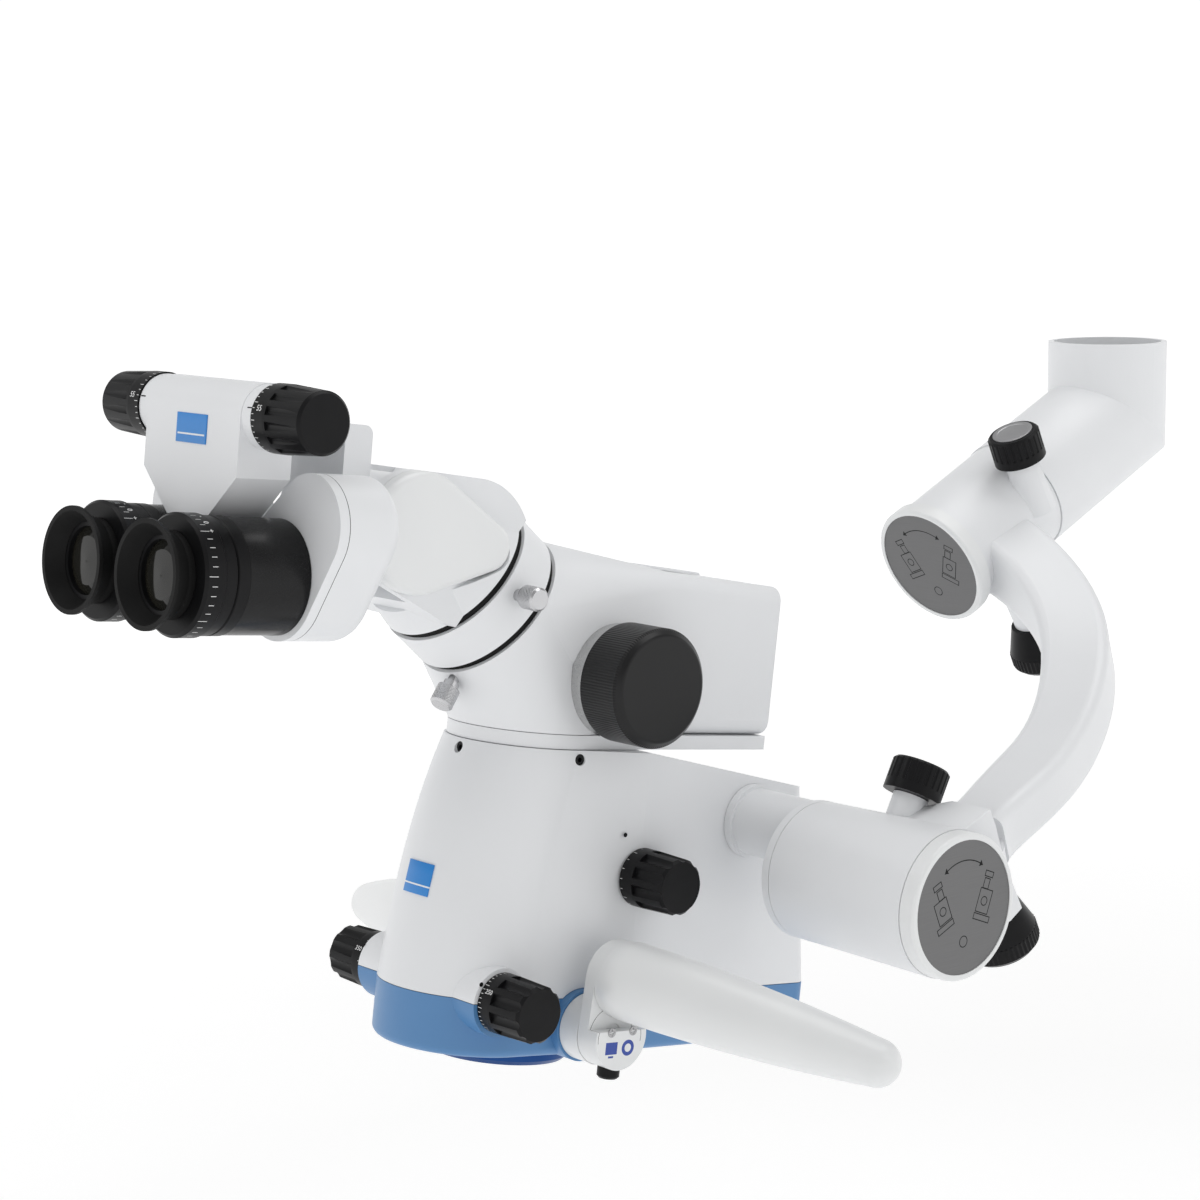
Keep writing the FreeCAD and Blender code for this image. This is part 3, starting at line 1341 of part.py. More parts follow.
def carrier():
    """Hub on the hinge, upright plate and top bracket: what holds the two eyepieces."""
    half = cheek_inside - 0.4
    hub = plain_cylinder("carrier_hub", hub_radius, half * 2,
                         side_frame(shift(), 0, 0) * shift(z=-half))
    plate = new_body("carrier_plate")
    sketch = new_sketch(plate, "YZ_Plane", -plate_half_width)
    back = -plate_front + plate_depth
    top = plate_top + bracket_height
    bracket = -pd_back + seam_gap
    polygon(sketch, [(back, -plate_bottom), (-plate_front, -plate_bottom),
                     (-plate_front, plate_top), (bracket, plate_top), (bracket, top),
                     (back, top)])
    pad(plate, sketch, plate_half_width * 2)
    round_edges(plate, 4.0, lambda edge: all(abs(vertex.Y - number_of(back)) < 0.01
                                             for vertex in edge.Vertexes)
                and abs(edge.CenterOfMass.x) < 1)
    wing = plain_box("carrier_wing", rail_end * 2, 6, rail_height,
                     shift(x=-rail_end, y=-plate_front - 1, z=-rail_down))
    keys = [plain_box("carrier_key_%d" % i, rail_end - rail_start, rail_depth + 1, rail_height,
                      shift(x=start, y=-plate_front - rail_depth, z=-rail_down))
            for i, start in enumerate((rail_start, -rail_end))]
    skin = fused("carrier_skin", [hub, plate, wing] + keys)
    room = hub_radius - 3.5
    space = fused("carrier_space", [
        plain_cylinder("mirror_room", room, mirror_width + 6,
                       side_frame(shift(), 0, 0) * shift(z=-mirror_width / 2 - 3)),
        plain_cylinder("carrier_pin_hole", pin_radius + running_gap, half * 2 + 2,
                       side_frame(shift(), 0, 0) * shift(z=-half - 1)),
        plain_cylinder("light_path", 12, 60, spin(X_AXIS, -41))])
    item = cut("carrier", skin, space)
    keep(item, "carrier", carrier_frame)


bracket_height = size("bracket_height", 5.0)
rail_start = size("rail_start", 22.5)
rail_end = size("rail_end", 34.0)
rail_height = size("rail_height", 8.0)
rail_depth = size("rail_depth", 6.0)
rail_down = size("rail_down", 24.0)
slide_out = size("slide_out", 10.0)
slide_in = size("slide_in", 2.5)
pd_back = size("pd_back", 68.0)


def pd_cover():
    """Cross tube with a flat shield below it, in front of the prism housings."""
    body = new_body("pd_cover")
    sketch = new_sketch(body, "YZ_Plane", -shield_half_width)
    front = -pd_forward - pd_radius
    centre = Vector(-number_of(pd_forward), number_of(pd_up), 0)
    round_line = Part.Circle(centre, Vector(0, 0, 1), number_of(pd_radius))
    lean = math.acos(number_of(pd_forward - pd_back) / number_of(pd_radius))
    arc = Part.ArcOfCircle(round_line, lean, math.pi)
    top = sketch.addGeometry(arc, False)
    back = -pd_back
    corners = [(front, pd_up), (front, shield_tip), (back, shield_tip)]
    points = [Vector(number_of(x), number_of(y), 0) for x, y in corners]
    points.append(arc.StartPoint)
    lines = [sketch.addGeometry(Part.LineSegment(points[i], points[i + 1]), False) for i in range(3)]
    sketch.addConstraint(Sketcher.Constraint("Coincident", top, 2, lines[0], 1))
    sketch.addConstraint(Sketcher.Constraint("Coincident", lines[0], 2, lines[1], 1))
    sketch.addConstraint(Sketcher.Constraint("Coincident", lines[1], 2, lines[2], 1))
    sketch.addConstraint(Sketcher.Constraint("Coincident", lines[2], 2, top, 1))
    hold_point(sketch, top, 3, -pd_forward, pd_up)
    hold_radius(sketch, top, pd_radius)
    hold_point(sketch, lines[0], 2, front, shield_tip)
    hold_point(sketch, lines[1], 2, back, shield_tip)
    hold(sketch, "DistanceY", top, 2, pd_up)
    sketch.addConstraint(Sketcher.Constraint("Vertical", lines[2]))
    pad(body, sketch, shield_half_width * 2)
    for side in (1, -1):
        corner = new_sketch(body, "XZ_Plane", pd_back - 5)
        polygon(corner, [(shield_half_width * side, shield_low),
                         (shield_tip_half_width * side, shield_tip),
                         (shield_tip_half_width * side, shield_tip - 5),
                         ((shield_half_width + 5) * side, shield_tip - 5),
                         ((shield_half_width + 5) * side, shield_low)])
        pocket(body, corner, shield_depth + 20, True)
    for lift in (shield_half_width - 5, -pd_half_length):
        collar = new_sketch(body, "YZ_Plane", lift)
        circle(collar, -pd_forward, pd_up, pd_radius - 0.3)
        pad(body, collar, pd_half_length - shield_half_width + 5)
    bore = new_sketch(body, "YZ_Plane", -pd_half_length - 5)
    circle(bore, -pd_forward, pd_up, pd_spindle_radius + running_gap)
    pocket(body, bore, pd_half_length * 2 + 10, True)
    keep(body, "pd_cover", carrier_frame)


def pd_spindle_and_knobs():
    """Cross spindle that spreads the eyepieces, with a knob at each end."""
    reach = pd_half_length + seam_gap
    body = new_body("pd_spindle")
    turn(body, [(0, -reach), (pd_spindle_radius, -reach), (pd_spindle_radius, reach), (0, reach)])
    keep(body, "pd_spindle", side_frame(carrier_frame, -pd_forward, pd_up))
    for side, word in ((1, "right"), (-1, "left")):
        frame = side_frame(carrier_frame, -pd_forward, pd_up, side) * shift(z=reach)
        fluted_knob("pd_knob_" + word, pd_knob_radius, pd_knob_tip_radius, pd_knob_length,
                    pd_flute_radius, pd_flutes, None, frame)


pd_flute_radius = size("pd_flute_radius", 2.2)
pd_flutes = size("pd_flutes", 14)


def prism_housing(side, word):
    """Flat housing of the prisms behind one eyepiece, with its outline of two round lobes."""
    body = new_body("prism_block_" + word)
    sketch = new_sketch(body, "XZ_Plane", prism_front - prism_depth)
    centre = eye_distance / 2 * side
    lobe = (eye_distance / 2 + prism_lobe_side) * side
    belt(sketch, centre, -eye_down, prism_low_radius, lobe, prism_lobe_up - eye_down,
         prism_lobe_radius)
    pad(body, sketch, prism_depth)
    flat = new_sketch(body, "XZ_Plane", prism_front - prism_depth - 5)
    inner = inner_flat * side
    beyond = (inner_flat - 20) * side
    polygon(flat, [(inner, -80), (inner, 60), (beyond, 60), (beyond, -80)])
    pocket(body, flat, prism_depth + 10, True)
    back = prism_depth - prism_front
    round_edges(body, prism_rounding,
                lambda edge: is_back(edge, back) and edge.CenterOfMass.x * side > 30)
    near = rail_start - slide_out - seam_gap
    far = rail_end + slide_in + seam_gap
    groove_start = near if side > 0 else -far
    groove = plain_box("rail_groove_" + word, far - near, rail_depth + 4,
                       rail_height + running_gap * 2,
                       shift(x=groove_start, y=-plate_front - rail_depth - running_gap,
                             z=-rail_down - running_gap))
    item = cut("prism_housing_" + word, body, groove)
    keep(item, "prism_housing_" + word, carrier_frame)


inner_flat = size("inner_flat", 2.8)


def is_back(edge, y):
    return all(abs(vertex.Y - number_of(y)) < 0.01 for vertex in edge.Vertexes)


def eyepiece(side, word):
    """Eyepiece tube, dioptre ring, rubber eyecup and eye lens of one side."""
    frame = (carrier_frame * shift(x=eye_distance / 2 * side, z=-eye_down)
             * spin(X_AXIS, 90) * shift(z=prism_front))
    tube = new_body("eyepiece_tube_" + word)
    start = seam_gap
    end = eye_tube_length
    inner = eye_tube_radius - eye_wall
    sleeve = inner - 2
    turn(tube, [(inner, start), (eye_tube_radius, start), (eye_tube_radius, end),
                (sleeve, end), (sleeve, end + 6), (sleeve - 2, end + 6), (sleeve - 2, end - 8),
                (inner, end - 8)])
    keep(tube, "eyepiece_tube_" + word, frame)
    ring = new_body("diopter_ring_" + word)
    low = end + seam_gap
    high = low + diopter_length
    lens = eye_lens_radius + running_gap
    neck = eyecup_root_radius - eyecup_wall - 0.3
    groove = 0.8
    turn(ring, [(sleeve + running_gap, low), (diopter_radius - 0.8, low),
                (diopter_radius - 0.8, low + 5), (diopter_radius - 0.8 - groove, low + 5.6),
                (diopter_radius - 0.8, low + 6.2), (diopter_radius - 0.8, low + 11),
                (diopter_radius, low + 11.8), (diopter_radius, high - 1.2),
                (diopter_radius - 1.2, high), (neck, high), (neck, high + 5), (lens, high + 5),
                (lens, high), (lens - 1.5, high), (lens - 1.5, high - 3), (sleeve + running_gap, high - 3)])
    keep(ring, "diopter_ring_" + word, frame)
    cup = new_body("eyecup_" + word)
    base = high + seam_gap
    rim = base + eyecup_length - 2
    turn(cup, [(neck + 0.05, base), (eyecup_root_radius, base), (eyecup_root_radius, base + 3),
               (eyecup_radius - 1.5, rim - 2.5), (eyecup_radius, rim - 1.5),
               (eyecup_radius, rim), (eyecup_radius - 2, rim),
               (eyecup_radius - 2 - eyecup_wall, rim - 2.5), (neck + 0.05, base + 5)])
    keep(cup, "eyecup_" + word, frame)
    glass = new_body("eyepiece_lens_" + word)
    turn(glass, [(0, high + 0.05), (eye_lens_radius, high + 0.05), (eye_lens_radius, high + 3),
                 (eye_lens_radius - 4, high + 4.4), (0, high + 4.8)])
    keep(glass, "eyepiece_lens_" + word, frame)


def handle_side(side, word):
    """Base, upright arm and grip of one handle; the right one also has a push button."""
    frame = side_frame(head_frame, -handle_back, -handle_down, side)
    # in the side frame of the right side local X points down and local Y to the back
    down = 1 if side > 0 else -1
    base = new_body("handle_base_" + word)
    start = handle_boss_reach + seam_gap
    end = start + handle_base_length
    turn(base, [(0, start - 10), (handle_pin_radius, start - 10), (handle_pin_radius, start),
                (handle_base_radius, start), (handle_base_radius, end), (handle_pin_radius, end),
                (handle_pin_radius, end + 6), (0, end + 6)])
    base.Placement = frame
    arm = new_body("handle_arm_" + word)
    low = end + seam_gap
    sketch = new_sketch(arm, "XY_Plane", low)
    belt(sketch, 0, 0, handle_arm_radius, -handle_arm_rise * down, handle_arm_back,
         handle_root_radius)
    pad(arm, sketch, handle_arm_width / 2)
    block = new_sketch(arm, "XY_Plane", low + handle_arm_width / 2)
    half_block(block, down)
    pad(arm, block, handle_arm_width / 2)
    bore = new_sketch(arm, "XY_Plane", low - 1)
    circle(bore, 0, 0, handle_pin_radius + running_gap)
    pocket(arm, bore, 8, True)
    pivot = new_sketch(arm, "XY_Plane", low + handle_arm_width)
    circle(pivot, -handle_arm_rise * down, handle_arm_back, handle_pin_radius + running_gap)
    pocket(arm, pivot, handle_arm_width - 3)
    if side > 0:
        hole = new_sketch(arm, "YZ_Plane", 2)
        circle(hole, 0, low + handle_arm_width / 2, button_radius + running_gap)
        pocket(arm, hole, handle_arm_radius + 5, True)
    keep(arm, "handle_arm_" + word, frame)
    grip_frame = frame * shift(x=-handle_arm_rise * down, y=handle_arm_back,
                               z=low + handle_arm_width / 2 + seam_gap)
    behind = plain_box("grip_behind_" + word, 60, 60, 40, grip_frame * shift(x=-30, y=-30, z=-40))
    grip = fused("handle_grip_" + word, [
        plain_cylinder("grip_pin_" + word, handle_pin_radius, 6, grip_frame * shift(z=-3)),
        plain_cylinder("grip_root_" + word, grip_root_radius - 0.5, 6, grip_frame),
        cut("grip_cropped_" + word, grip_bar(word, grip_frame, down), behind)])
    keep(grip, "handle_grip_" + word)
    return base


handle_arm_back = size("handle_arm_back", 3.3)
handle_root_radius = size("handle_root_radius", 16.5)


def half_block(sketch, down):
    """Round below and flat above: the lower end of the handle arm."""
    top = 3.0
    reach = math.sqrt(number_of(handle_arm_radius) ** 2 - top ** 2)
    middle = Vector(0, 0, 0)
    round_line = Part.Circle(middle, Vector(0, 0, 1), number_of(handle_arm_radius))
    lean = math.atan2(reach, -top)
    if down > 0:
        arc = Part.ArcOfCircle(round_line, -lean, lean)
    else:
        arc = Part.ArcOfCircle(round_line, math.pi - lean, math.pi + lean)
    curve = sketch.addGeometry(arc, False)
    flat = sketch.addGeometry(Part.LineSegment(arc.EndPoint, arc.StartPoint), False)
    sketch.addConstraint(Sketcher.Constraint("Coincident", curve, 2, flat, 1))
    sketch.addConstraint(Sketcher.Constraint("Coincident", flat, 2, curve, 1))
    sketch.addConstraint(Sketcher.Constraint("Vertical", flat))
    hold_point(sketch, curve, 3, 0, 0)
    hold_radius(sketch, curve, handle_arm_radius)
    hold(sketch, "DistanceX", flat, 1, -top * down)


def grip_bar(word, grip_frame, down):
    """Turned bar of the grip, thick at the root and slim at the rounded tip."""
    body = new_body("grip_bar_" + word)
    sketch = new_sketch(body, "XZ_Plane")
    waist_radius = (grip_root_radius + grip_tip_radius) / 2 + 1.4
    tip = grip_length - grip_tip_radius
    root = number_of(grip_root_radius)
    slim = number_of(grip_tip_radius)
    end = number_of(tip)
    ball = Part.Arc(Vector(0, -root, 0), Vector(root * 0.7071, -root * 0.7071, 0), Vector(root, 0, 0))
    swell = Part.Arc(Vector(root, 0, 0), Vector(number_of(waist_radius), end * 0.55, 0),
                     Vector(slim, end, 0))
    nose = Part.Arc(Vector(slim, end, 0), Vector(slim * 0.7071, end + slim * 0.7071, 0),
                    Vector(0, end + slim, 0))
    curves = [sketch.addGeometry(curve, False) for curve in (ball, swell, nose)]
    axis = sketch.addGeometry(Part.LineSegment(Vector(0, end + slim, 0), Vector(0, -root, 0)), False)
    join_ends(sketch, curves + [axis])
    sketch.addConstraint(Sketcher.Constraint("PointOnObject", axis, 1, -2))
    sketch.addConstraint(Sketcher.Constraint("PointOnObject", axis, 2, -2))
    hold_point(sketch, curves[0], 3, 0, 0)
    hold_radius(sketch, curves[0], grip_root_radius)
    hold_point(sketch, curves[2], 3, 0, tip)
    hold_radius(sketch, curves[2], grip_tip_radius)
    hold(sketch, "DistanceY", curves[1], outer_end(sketch, curves[1], root), 0)
    hold(sketch, "DistanceY", curves[1], 3 - outer_end(sketch, curves[1], root), tip)
    hold_radius(sketch, curves[1], sketch.Geometry[curves[1]].Radius)
    feature = body.newObject("PartDesign::Revolution", body.Name + "_turn")
    feature.Profile = sketch
    feature.ReferenceAxis = (sketch, ["V_Axis"])
    feature.Angle = 360
    doc.recompute()
    heading = Vector(-number_of(grip_dip) * -1 * down, number_of(grip_sweep_run), number_of(grip_reach))
    body.Placement = grip_frame * Placement(Vector(0, 0, 6), Rotation(Z_AXIS, heading))
    return body


grip_reach = size("grip_reach", 115.0)
grip_sweep_run = size("grip_sweep_run", 48.9)


def outer_end(sketch, geometry, radius):
    """Which end of the curve lies at this distance from the axis: 1 or 2."""
    return 1 if abs(sketch.Geometry[geometry].StartPoint.x - radius) < 1e-6 else 2


def join_ends(sketch, chain):
    """Make each curve of a closed chain meet the next, whichever way it was stored."""
    for i, here in enumerate(chain):
        there = chain[(i + 1) % len(chain)]
        ends = ((1, sketch.Geometry[here].StartPoint), (2, sketch.Geometry[here].EndPoint))
        starts = ((1, sketch.Geometry[there].StartPoint), (2, sketch.Geometry[there].EndPoint))
        pairs = [((a - b).Length, j, k) for j, a in ends for k, b in starts]
        _, j, k = min(pairs)
        sketch.addConstraint(Sketcher.Constraint("Coincident", here, j, there, k))


def handles():
    group_of("handle_bases", [handle_side(1, "right"), handle_side(-1, "left")])
    low = handle_boss_reach + seam_gap + handle_base_length + seam_gap
    button = new_body("handle_button")
    rest = handle_arm_radius + 1.5
    start = handle_pin_radius + button_travel + 1
    turn(button, [(0, start), (button_radius, start), (button_radius, rest + 2), (button_radius - 1, rest + 3),
                  (0, rest + 3)])
    frame = (side_frame(head_frame, -handle_back, -handle_down)
             * shift(z=low + handle_arm_width / 2) * spin(Y_AXIS, 90))
    keep(button, "handle_button", frame)


def check_and_write():
    """Refuse any failed object, then write each piece to its own file."""
    doc.recompute()
    for item in doc.Objects:
        if "Invalid" in item.State or "Error" in item.State:
            raise ValueError("%s failed: %s" % (item.Label, item.State))
    os.makedirs("parts", exist_ok=True)
    for item in pieces:
        shape = item.Shape
        if shape.isNull() or not shape.isValid() or not shape.Solids:
            raise ValueError(item.Label + " is not a valid solid")
    for item in pieces:
        item.Shape.exportStep("parts/%s.step" % item.Label)


elbow_tube()
pendulum_axle()
axle_bearings()
swing_arm()
joint_caps()
brake_knobs()
tension_knobs()
tilt_joint()
body_housing()
base_cover()
objective()
control_knobs()
set_screws()
dovetail_and_neck_base()
neck_housing()
lid_and_port()
rotation_ring()
tube_body()
hinge_covers()
hinge_inside()
carrier()
pd_cover()
pd_spindle_and_knobs()
for side, word in ((1, "right"), (-1, "left")):
    prism_housing(side, word)
    eyepiece(side, word)
handles()
check_and_write()
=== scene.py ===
import bpy
import math
from mathutils import Euler, Matrix, Quaternion, Vector


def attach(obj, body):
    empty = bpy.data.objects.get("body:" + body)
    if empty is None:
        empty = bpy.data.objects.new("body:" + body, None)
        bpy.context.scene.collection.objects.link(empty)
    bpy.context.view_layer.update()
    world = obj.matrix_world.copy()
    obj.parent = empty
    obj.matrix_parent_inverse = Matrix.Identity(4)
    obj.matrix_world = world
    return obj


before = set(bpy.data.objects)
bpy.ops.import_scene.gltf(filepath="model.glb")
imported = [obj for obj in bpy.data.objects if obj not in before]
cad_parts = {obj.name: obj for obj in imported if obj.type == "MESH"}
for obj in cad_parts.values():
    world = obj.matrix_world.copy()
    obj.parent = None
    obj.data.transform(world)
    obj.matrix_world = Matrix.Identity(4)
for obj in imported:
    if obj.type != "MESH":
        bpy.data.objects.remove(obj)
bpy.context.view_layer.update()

# Camera.
# A long lens near eye height looks at the right front of the microscope, as a catalogue
# picture does.
camera = bpy.data.cameras.new("camera")
camera.lens = 86.9
camera.sensor_width = 36
camera.clip_end = 50
camera_object = bpy.data.objects.new("camera", camera)
bpy.context.collection.objects.link(camera_object)
camera_object.rotation_mode = "QUATERNION"
down, towards, roll = 9.1, 48.9, -0.6
aim = Euler((math.radians(90 - down), 0, math.radians(towards))).to_quaternion()
camera_object.location = (0.9795, -1.2129, 0.1098)
camera_object.rotation_quaternion = aim @ Quaternion((0, 0, 1), math.radians(roll))
bpy.context.scene.camera = camera_object

# Studio.
# A white floor and a bright white surround light the microscope from all sides, and three
# large soft boxes give the castings their gentle shading.


class Value:
    """A socket that can be used in sums."""

    def __init__(self, tree, socket):
        self.tree = tree
        self.socket = socket

    def sum(self, operation, other=None, swapped=False):
        pair = (other, self) if swapped else (self, other)
        values = {i: value for i, value in enumerate(pair) if value is not None}
        return node(self.tree, "ShaderNodeMath", {"operation": operation}, values)

    def __add__(self, other):
        return self.sum("ADD", other)

    __radd__ = __add__

    def __sub__(self, other):
        return self.sum("SUBTRACT", other)

    def __rsub__(self, other):
        return self.sum("SUBTRACT", other, True)

    def __mul__(self, other):
        return self.sum("MULTIPLY", other)

    __rmul__ = __mul__

    def __truediv__(self, other):
        return self.sum("DIVIDE", other)

    def __lt__(self, other):
        return self.sum("LESS_THAN", other)

    def __gt__(self, other):
        return self.sum("GREATER_THAN", other)

    def __abs__(self):
        return self.sum("ABSOLUTE")


def node(tree, kind, settings=None, values=None, output=0):
    """One shader node: its settings first, then its socket values or links."""
    made = tree.nodes.new(kind)
    for name, setting in (settings or {}).items():
        setattr(made, name, setting)
    for name, value in (values or {}).items():
        if isinstance(value, Value):
            tree.links.new(value.socket, made.inputs[name])
        else:
            made.inputs[name].default_value = value
    return Value(tree, made.outputs[output])


def new_material(name, **constants):
    """A principled material and its tree; constants are set on the shader's own sockets."""
    material = bpy.data.materials.new(name)
    material.use_nodes = True
    shader = material.node_tree.nodes["Principled BSDF"]
    for word, value in constants.items():
        socket = shader.inputs[word.replace("_", " ")]
        if socket.type == "RGBA" and len(value) == 3:
            value = (*value, 1)
        socket.default_value = value
    return material, material.node_tree, shader


def shift(x=0, y=0, z=0):
    """A move in millimetres."""
    return Matrix.Translation((x / 1000, y / 1000, z / 1000))


def spin(axis, degrees):
    """A turn about an axis."""
    return Matrix.Rotation(math.radians(degrees), 4, axis)


def coordinates(tree, place=Matrix()):
    """Object coordinates in metres, seen from a frame on the piece."""
    point = node(tree, "ShaderNodeTexCoord", output=3)
    return node(tree, "ShaderNodeMapping", {"vector_type": "TEXTURE"},
                {"Vector": point, "Location": place.translation, "Rotation": place.to_euler()})


def axes(tree, point):
    """The three numbers of a vector."""
    parts = node(tree, "ShaderNodeSeparateXYZ", None, {0: point}).socket.node
    return [Value(tree, socket) for socket in parts.outputs]


def noise(tree, point, scale, detail=2.0):
    """Cloudy noise between 0 and 1."""
    return node(tree, "ShaderNodeTexNoise", None,
                {"Vector": point, "Scale": scale, "Detail": detail})


def blend_colours(tree, mask, first, second):
    """The first colour where the mask is 0 and the second where it is 1."""
    pair = [colour if isinstance(colour, Value) else (*colour, 1) for colour in (first, second)]
    return node(tree, "ShaderNodeMix", {"data_type": "RGBA"}, {0: mask, 6: pair[0], 7: pair[1]}, 2)


def feed(shader, socket, value):
    """Link a varying value to the shader."""
    value.tree.links.new(value.socket, shader.inputs[socket])


def raise_surface(shader, height, strength, depth):
    """Bump of so many millimetres from a height between 0 and 1."""
    bump = node(height.tree, "ShaderNodeBump", None,
                {"Height": height, "Strength": strength, "Distance": depth / 1000})
    feed(shader, "Normal", bump)


bpy.ops.object.select_all(action="DESELECT")
floor_level = -0.62
bpy.ops.mesh.primitive_plane_add(size=14, location=(0, 0, floor_level))
floor = bpy.context.object
floor.name = "floor"
material, tree, shader = new_material("studio_white", Roughness=0.9, Emission_Strength=1.0)
point = coordinates(tree)
x, y = axes(tree, point)[:2]
# Painted light: the floor itself glows, dim under the microscope and brighter further out.
glow_start, glow_reach = 0.7, 2.2
distance = (x * x + y * y).sum("SQRT")
away = node(tree, "ShaderNodeClamp", None, {0: (distance - glow_start) / glow_reach})
feed(shader, "Emission Color",
     blend_colours(tree, away, (0.24, 0.24, 0.24), (0.62, 0.62, 0.62)))
mottle = noise(tree, point, 3)
feed(shader, "Base Color",
     blend_colours(tree, mottle, (0.93, 0.93, 0.93), (0.96, 0.96, 0.96)))
floor.data.materials.append(material)

world = bpy.data.worlds.new("studio")
bpy.context.scene.world = world
world.use_nodes = True
tree = world.node_tree
height = abs(axes(tree, node(tree, "ShaderNodeTexCoord"))[2])
glow = node(tree, "ShaderNodeClamp", None, {0: 1.5 - height * 4})
tree.nodes["Background"].inputs["Color"].default_value = (1, 1, 1, 1)
tree.links.new((0.46 + glow * 0.58).socket, tree.nodes["Background"].inputs["Strength"])
bpy.context.scene.view_settings.view_transform = "Standard"

lamp_aim = Vector((0, -0.3, -0.15))
for name, place, energy, width in (("key", (-0.9, -1.6, 1.6), 9, 1.2),
                                   ("top", (0.3, 0.2, 1.9), 16, 1.6),
                                   ("side", (1.9, 0.3, 0.9), 2.5, 1.0)):
    lamp = bpy.data.lights.new(name, "AREA")
    lamp.energy = energy
    lamp.size = width
    lamp_object = bpy.data.objects.new(name, lamp)
    bpy.context.collection.objects.link(lamp_object)
    lamp_object.location = place
    lamp_object.rotation_mode = "QUATERNION"
    heading = lamp_aim - Vector(place)
    lamp_object.rotation_quaternion = heading.to_track_quat("-Z", "Y")

# Elbow tube and its axle.
# The tube hangs from the stand and carries the pendulum axle. Both its legs are one casting
# with a powder coat whose fine grain shows close up; the ground axle sits inside.


def powder_coat(name):
    """White satin powder coat with a fine grain."""
    material, tree, shader = new_material(name, Coat_Roughness=0.25)
    point = coordinates(tree)
    cloud = noise(tree, point, 22, 3)
    grain = noise(tree, point, 1500, 3)
    broad = noise(tree, point, 320, 2)
    feed(shader, "Base Color",
         blend_colours(tree, cloud, (0.76, 0.77, 0.785), (0.80, 0.81, 0.825)))
    feed(shader, "Roughness", 0.34 + grain * 0.14)
    feed(shader, "Coat Weight", 0.10 + cloud * 0.08)
    raise_surface(shader, grain * 0.7 + broad * 0.5, 0.34, 0.12)
    return material, tree, shader


def ground_steel(name, colour=(0.55, 0.55, 0.57), rough=0.24):
    """Ground or turned metal with fine lines."""
    material, tree, shader = new_material(name, Metallic=1.0)
    point = coordinates(tree)
    lines = noise(tree, point, 2600, 1)
    cloud = noise(tree, point, 60, 2)
    dim = tuple(part * 0.86 for part in colour)
    feed(shader, "Base Color", blend_colours(tree, cloud, dim, colour))
    feed(shader, "Roughness", rough + lines * 0.14)
    raise_surface(shader, lines, 0.12, 0.02)
    return material


def dress(material, *names):
    """Give CAD pieces their finish."""
    for name in names:
        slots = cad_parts[name].data.materials
        slots.clear()
        slots.append(material)


white_casting = powder_coat("white_casting")[0]
bearing_steel = ground_steel("bearing_steel")
dress(white_casting, "elbow_tube")
dress(bearing_steel, "pendulum_axle", "axle_bearings")

# Swing arm, end caps and discs.
# One casting makes the upper housing, the curved arm and the tilt drum. A moulded cap closes
# each end and holds a printed disc of brushed aluminium that shows how the joint moves.
pendulum_drop, pendulum_lean = 42, 115
pendulum = shift(z=-pendulum_drop) @ spin("X", pendulum_lean)
tilt = shift(y=-309.5, z=-216.5)


def white_plastic_finish(name):
    """Moulded white plastic, smoother and a little warmer than the castings."""
    material, tree, shader = new_material(name, Coat_Roughness=0.2)
    point = coordinates(tree)
    cloud = noise(tree, point, 30, 2)
    grain = noise(tree, point, 2400, 2)
    feed(shader, "Base Color",
         blend_colours(tree, cloud, (0.77, 0.78, 0.785), (0.80, 0.81, 0.81)))
    feed(shader, "Roughness", 0.30 + grain * 0.12)
    feed(shader, "Coat Weight", 0.14 + cloud * 0.08)
    raise_surface(shader, grain, 0.22, 0.06)
    return material, tree, shader


def band(value, low, high):
    """1 between two numbers."""
    return (value > low) * (value < high)


stroke = 0.22


def box_line(x, y, place, half):
    """Outline of a turned rectangle, all in millimetres and degrees."""
    centre_x, centre_y, turn = place
    c, s = math.cos(math.radians(turn)), math.sin(math.radians(turn))
    u = (x - centre_x) * c + (y - centre_y) * s
    v = (y - centre_y) * c - (x - centre_x) * s
    edge = (abs(u) - half[0]).sum("MAXIMUM", abs(v) - half[1])
    return abs(edge) < stroke


def ring_line(x, y, centre_x, centre_y, radius):
    """Outline of a circle."""
    reach = ((x - centre_x) * (x - centre_x) + (y - centre_y) * (y - centre_y)).sum("SQRT")
    return abs(reach - radius) < stroke


def disc_print(x, y):
    """Double arrow on an arc over two little outlines of a tilting block on a stem."""
    reach = (x * x + y * y).sum("SQRT")
    angle = x.sum("ARCTAN2", y) * (180 / math.pi)
    arc_radius, arc_end, head_length = 20.5, 36, 6
    print_mask = (abs(reach - arc_radius) < 0.25) * (abs(angle) < arc_end)
    for side in (1, -1):
        back = arc_end - angle * side
        head = band(back, 0, head_length) * (abs(reach - arc_radius) < back * 0.26)
        print_mask = print_mask.sum("MAXIMUM", head)
        for place, half in (((13 * side, 0.5, -22 * side), (4.0, 5.2)),
                            ((14.6 * side, 8.0, -22 * side), (1.7, 2.2)),
                            ((11.2 * side, -6.6, -22 * side), (5.2, 1.3)),
                            ((16.4 * side, 11.8, -22 * side), (2.6, 1.2))):
            print_mask = print_mask.sum("MAXIMUM", box_line(x, y, place, half))
        print_mask = print_mask.sum("MAXIMUM", ring_line(x, y, 13 * side, 0.5, 1.9))
    return print_mask.sum("MAXIMUM", ring_line(x, y, 0, -15, 2.4))


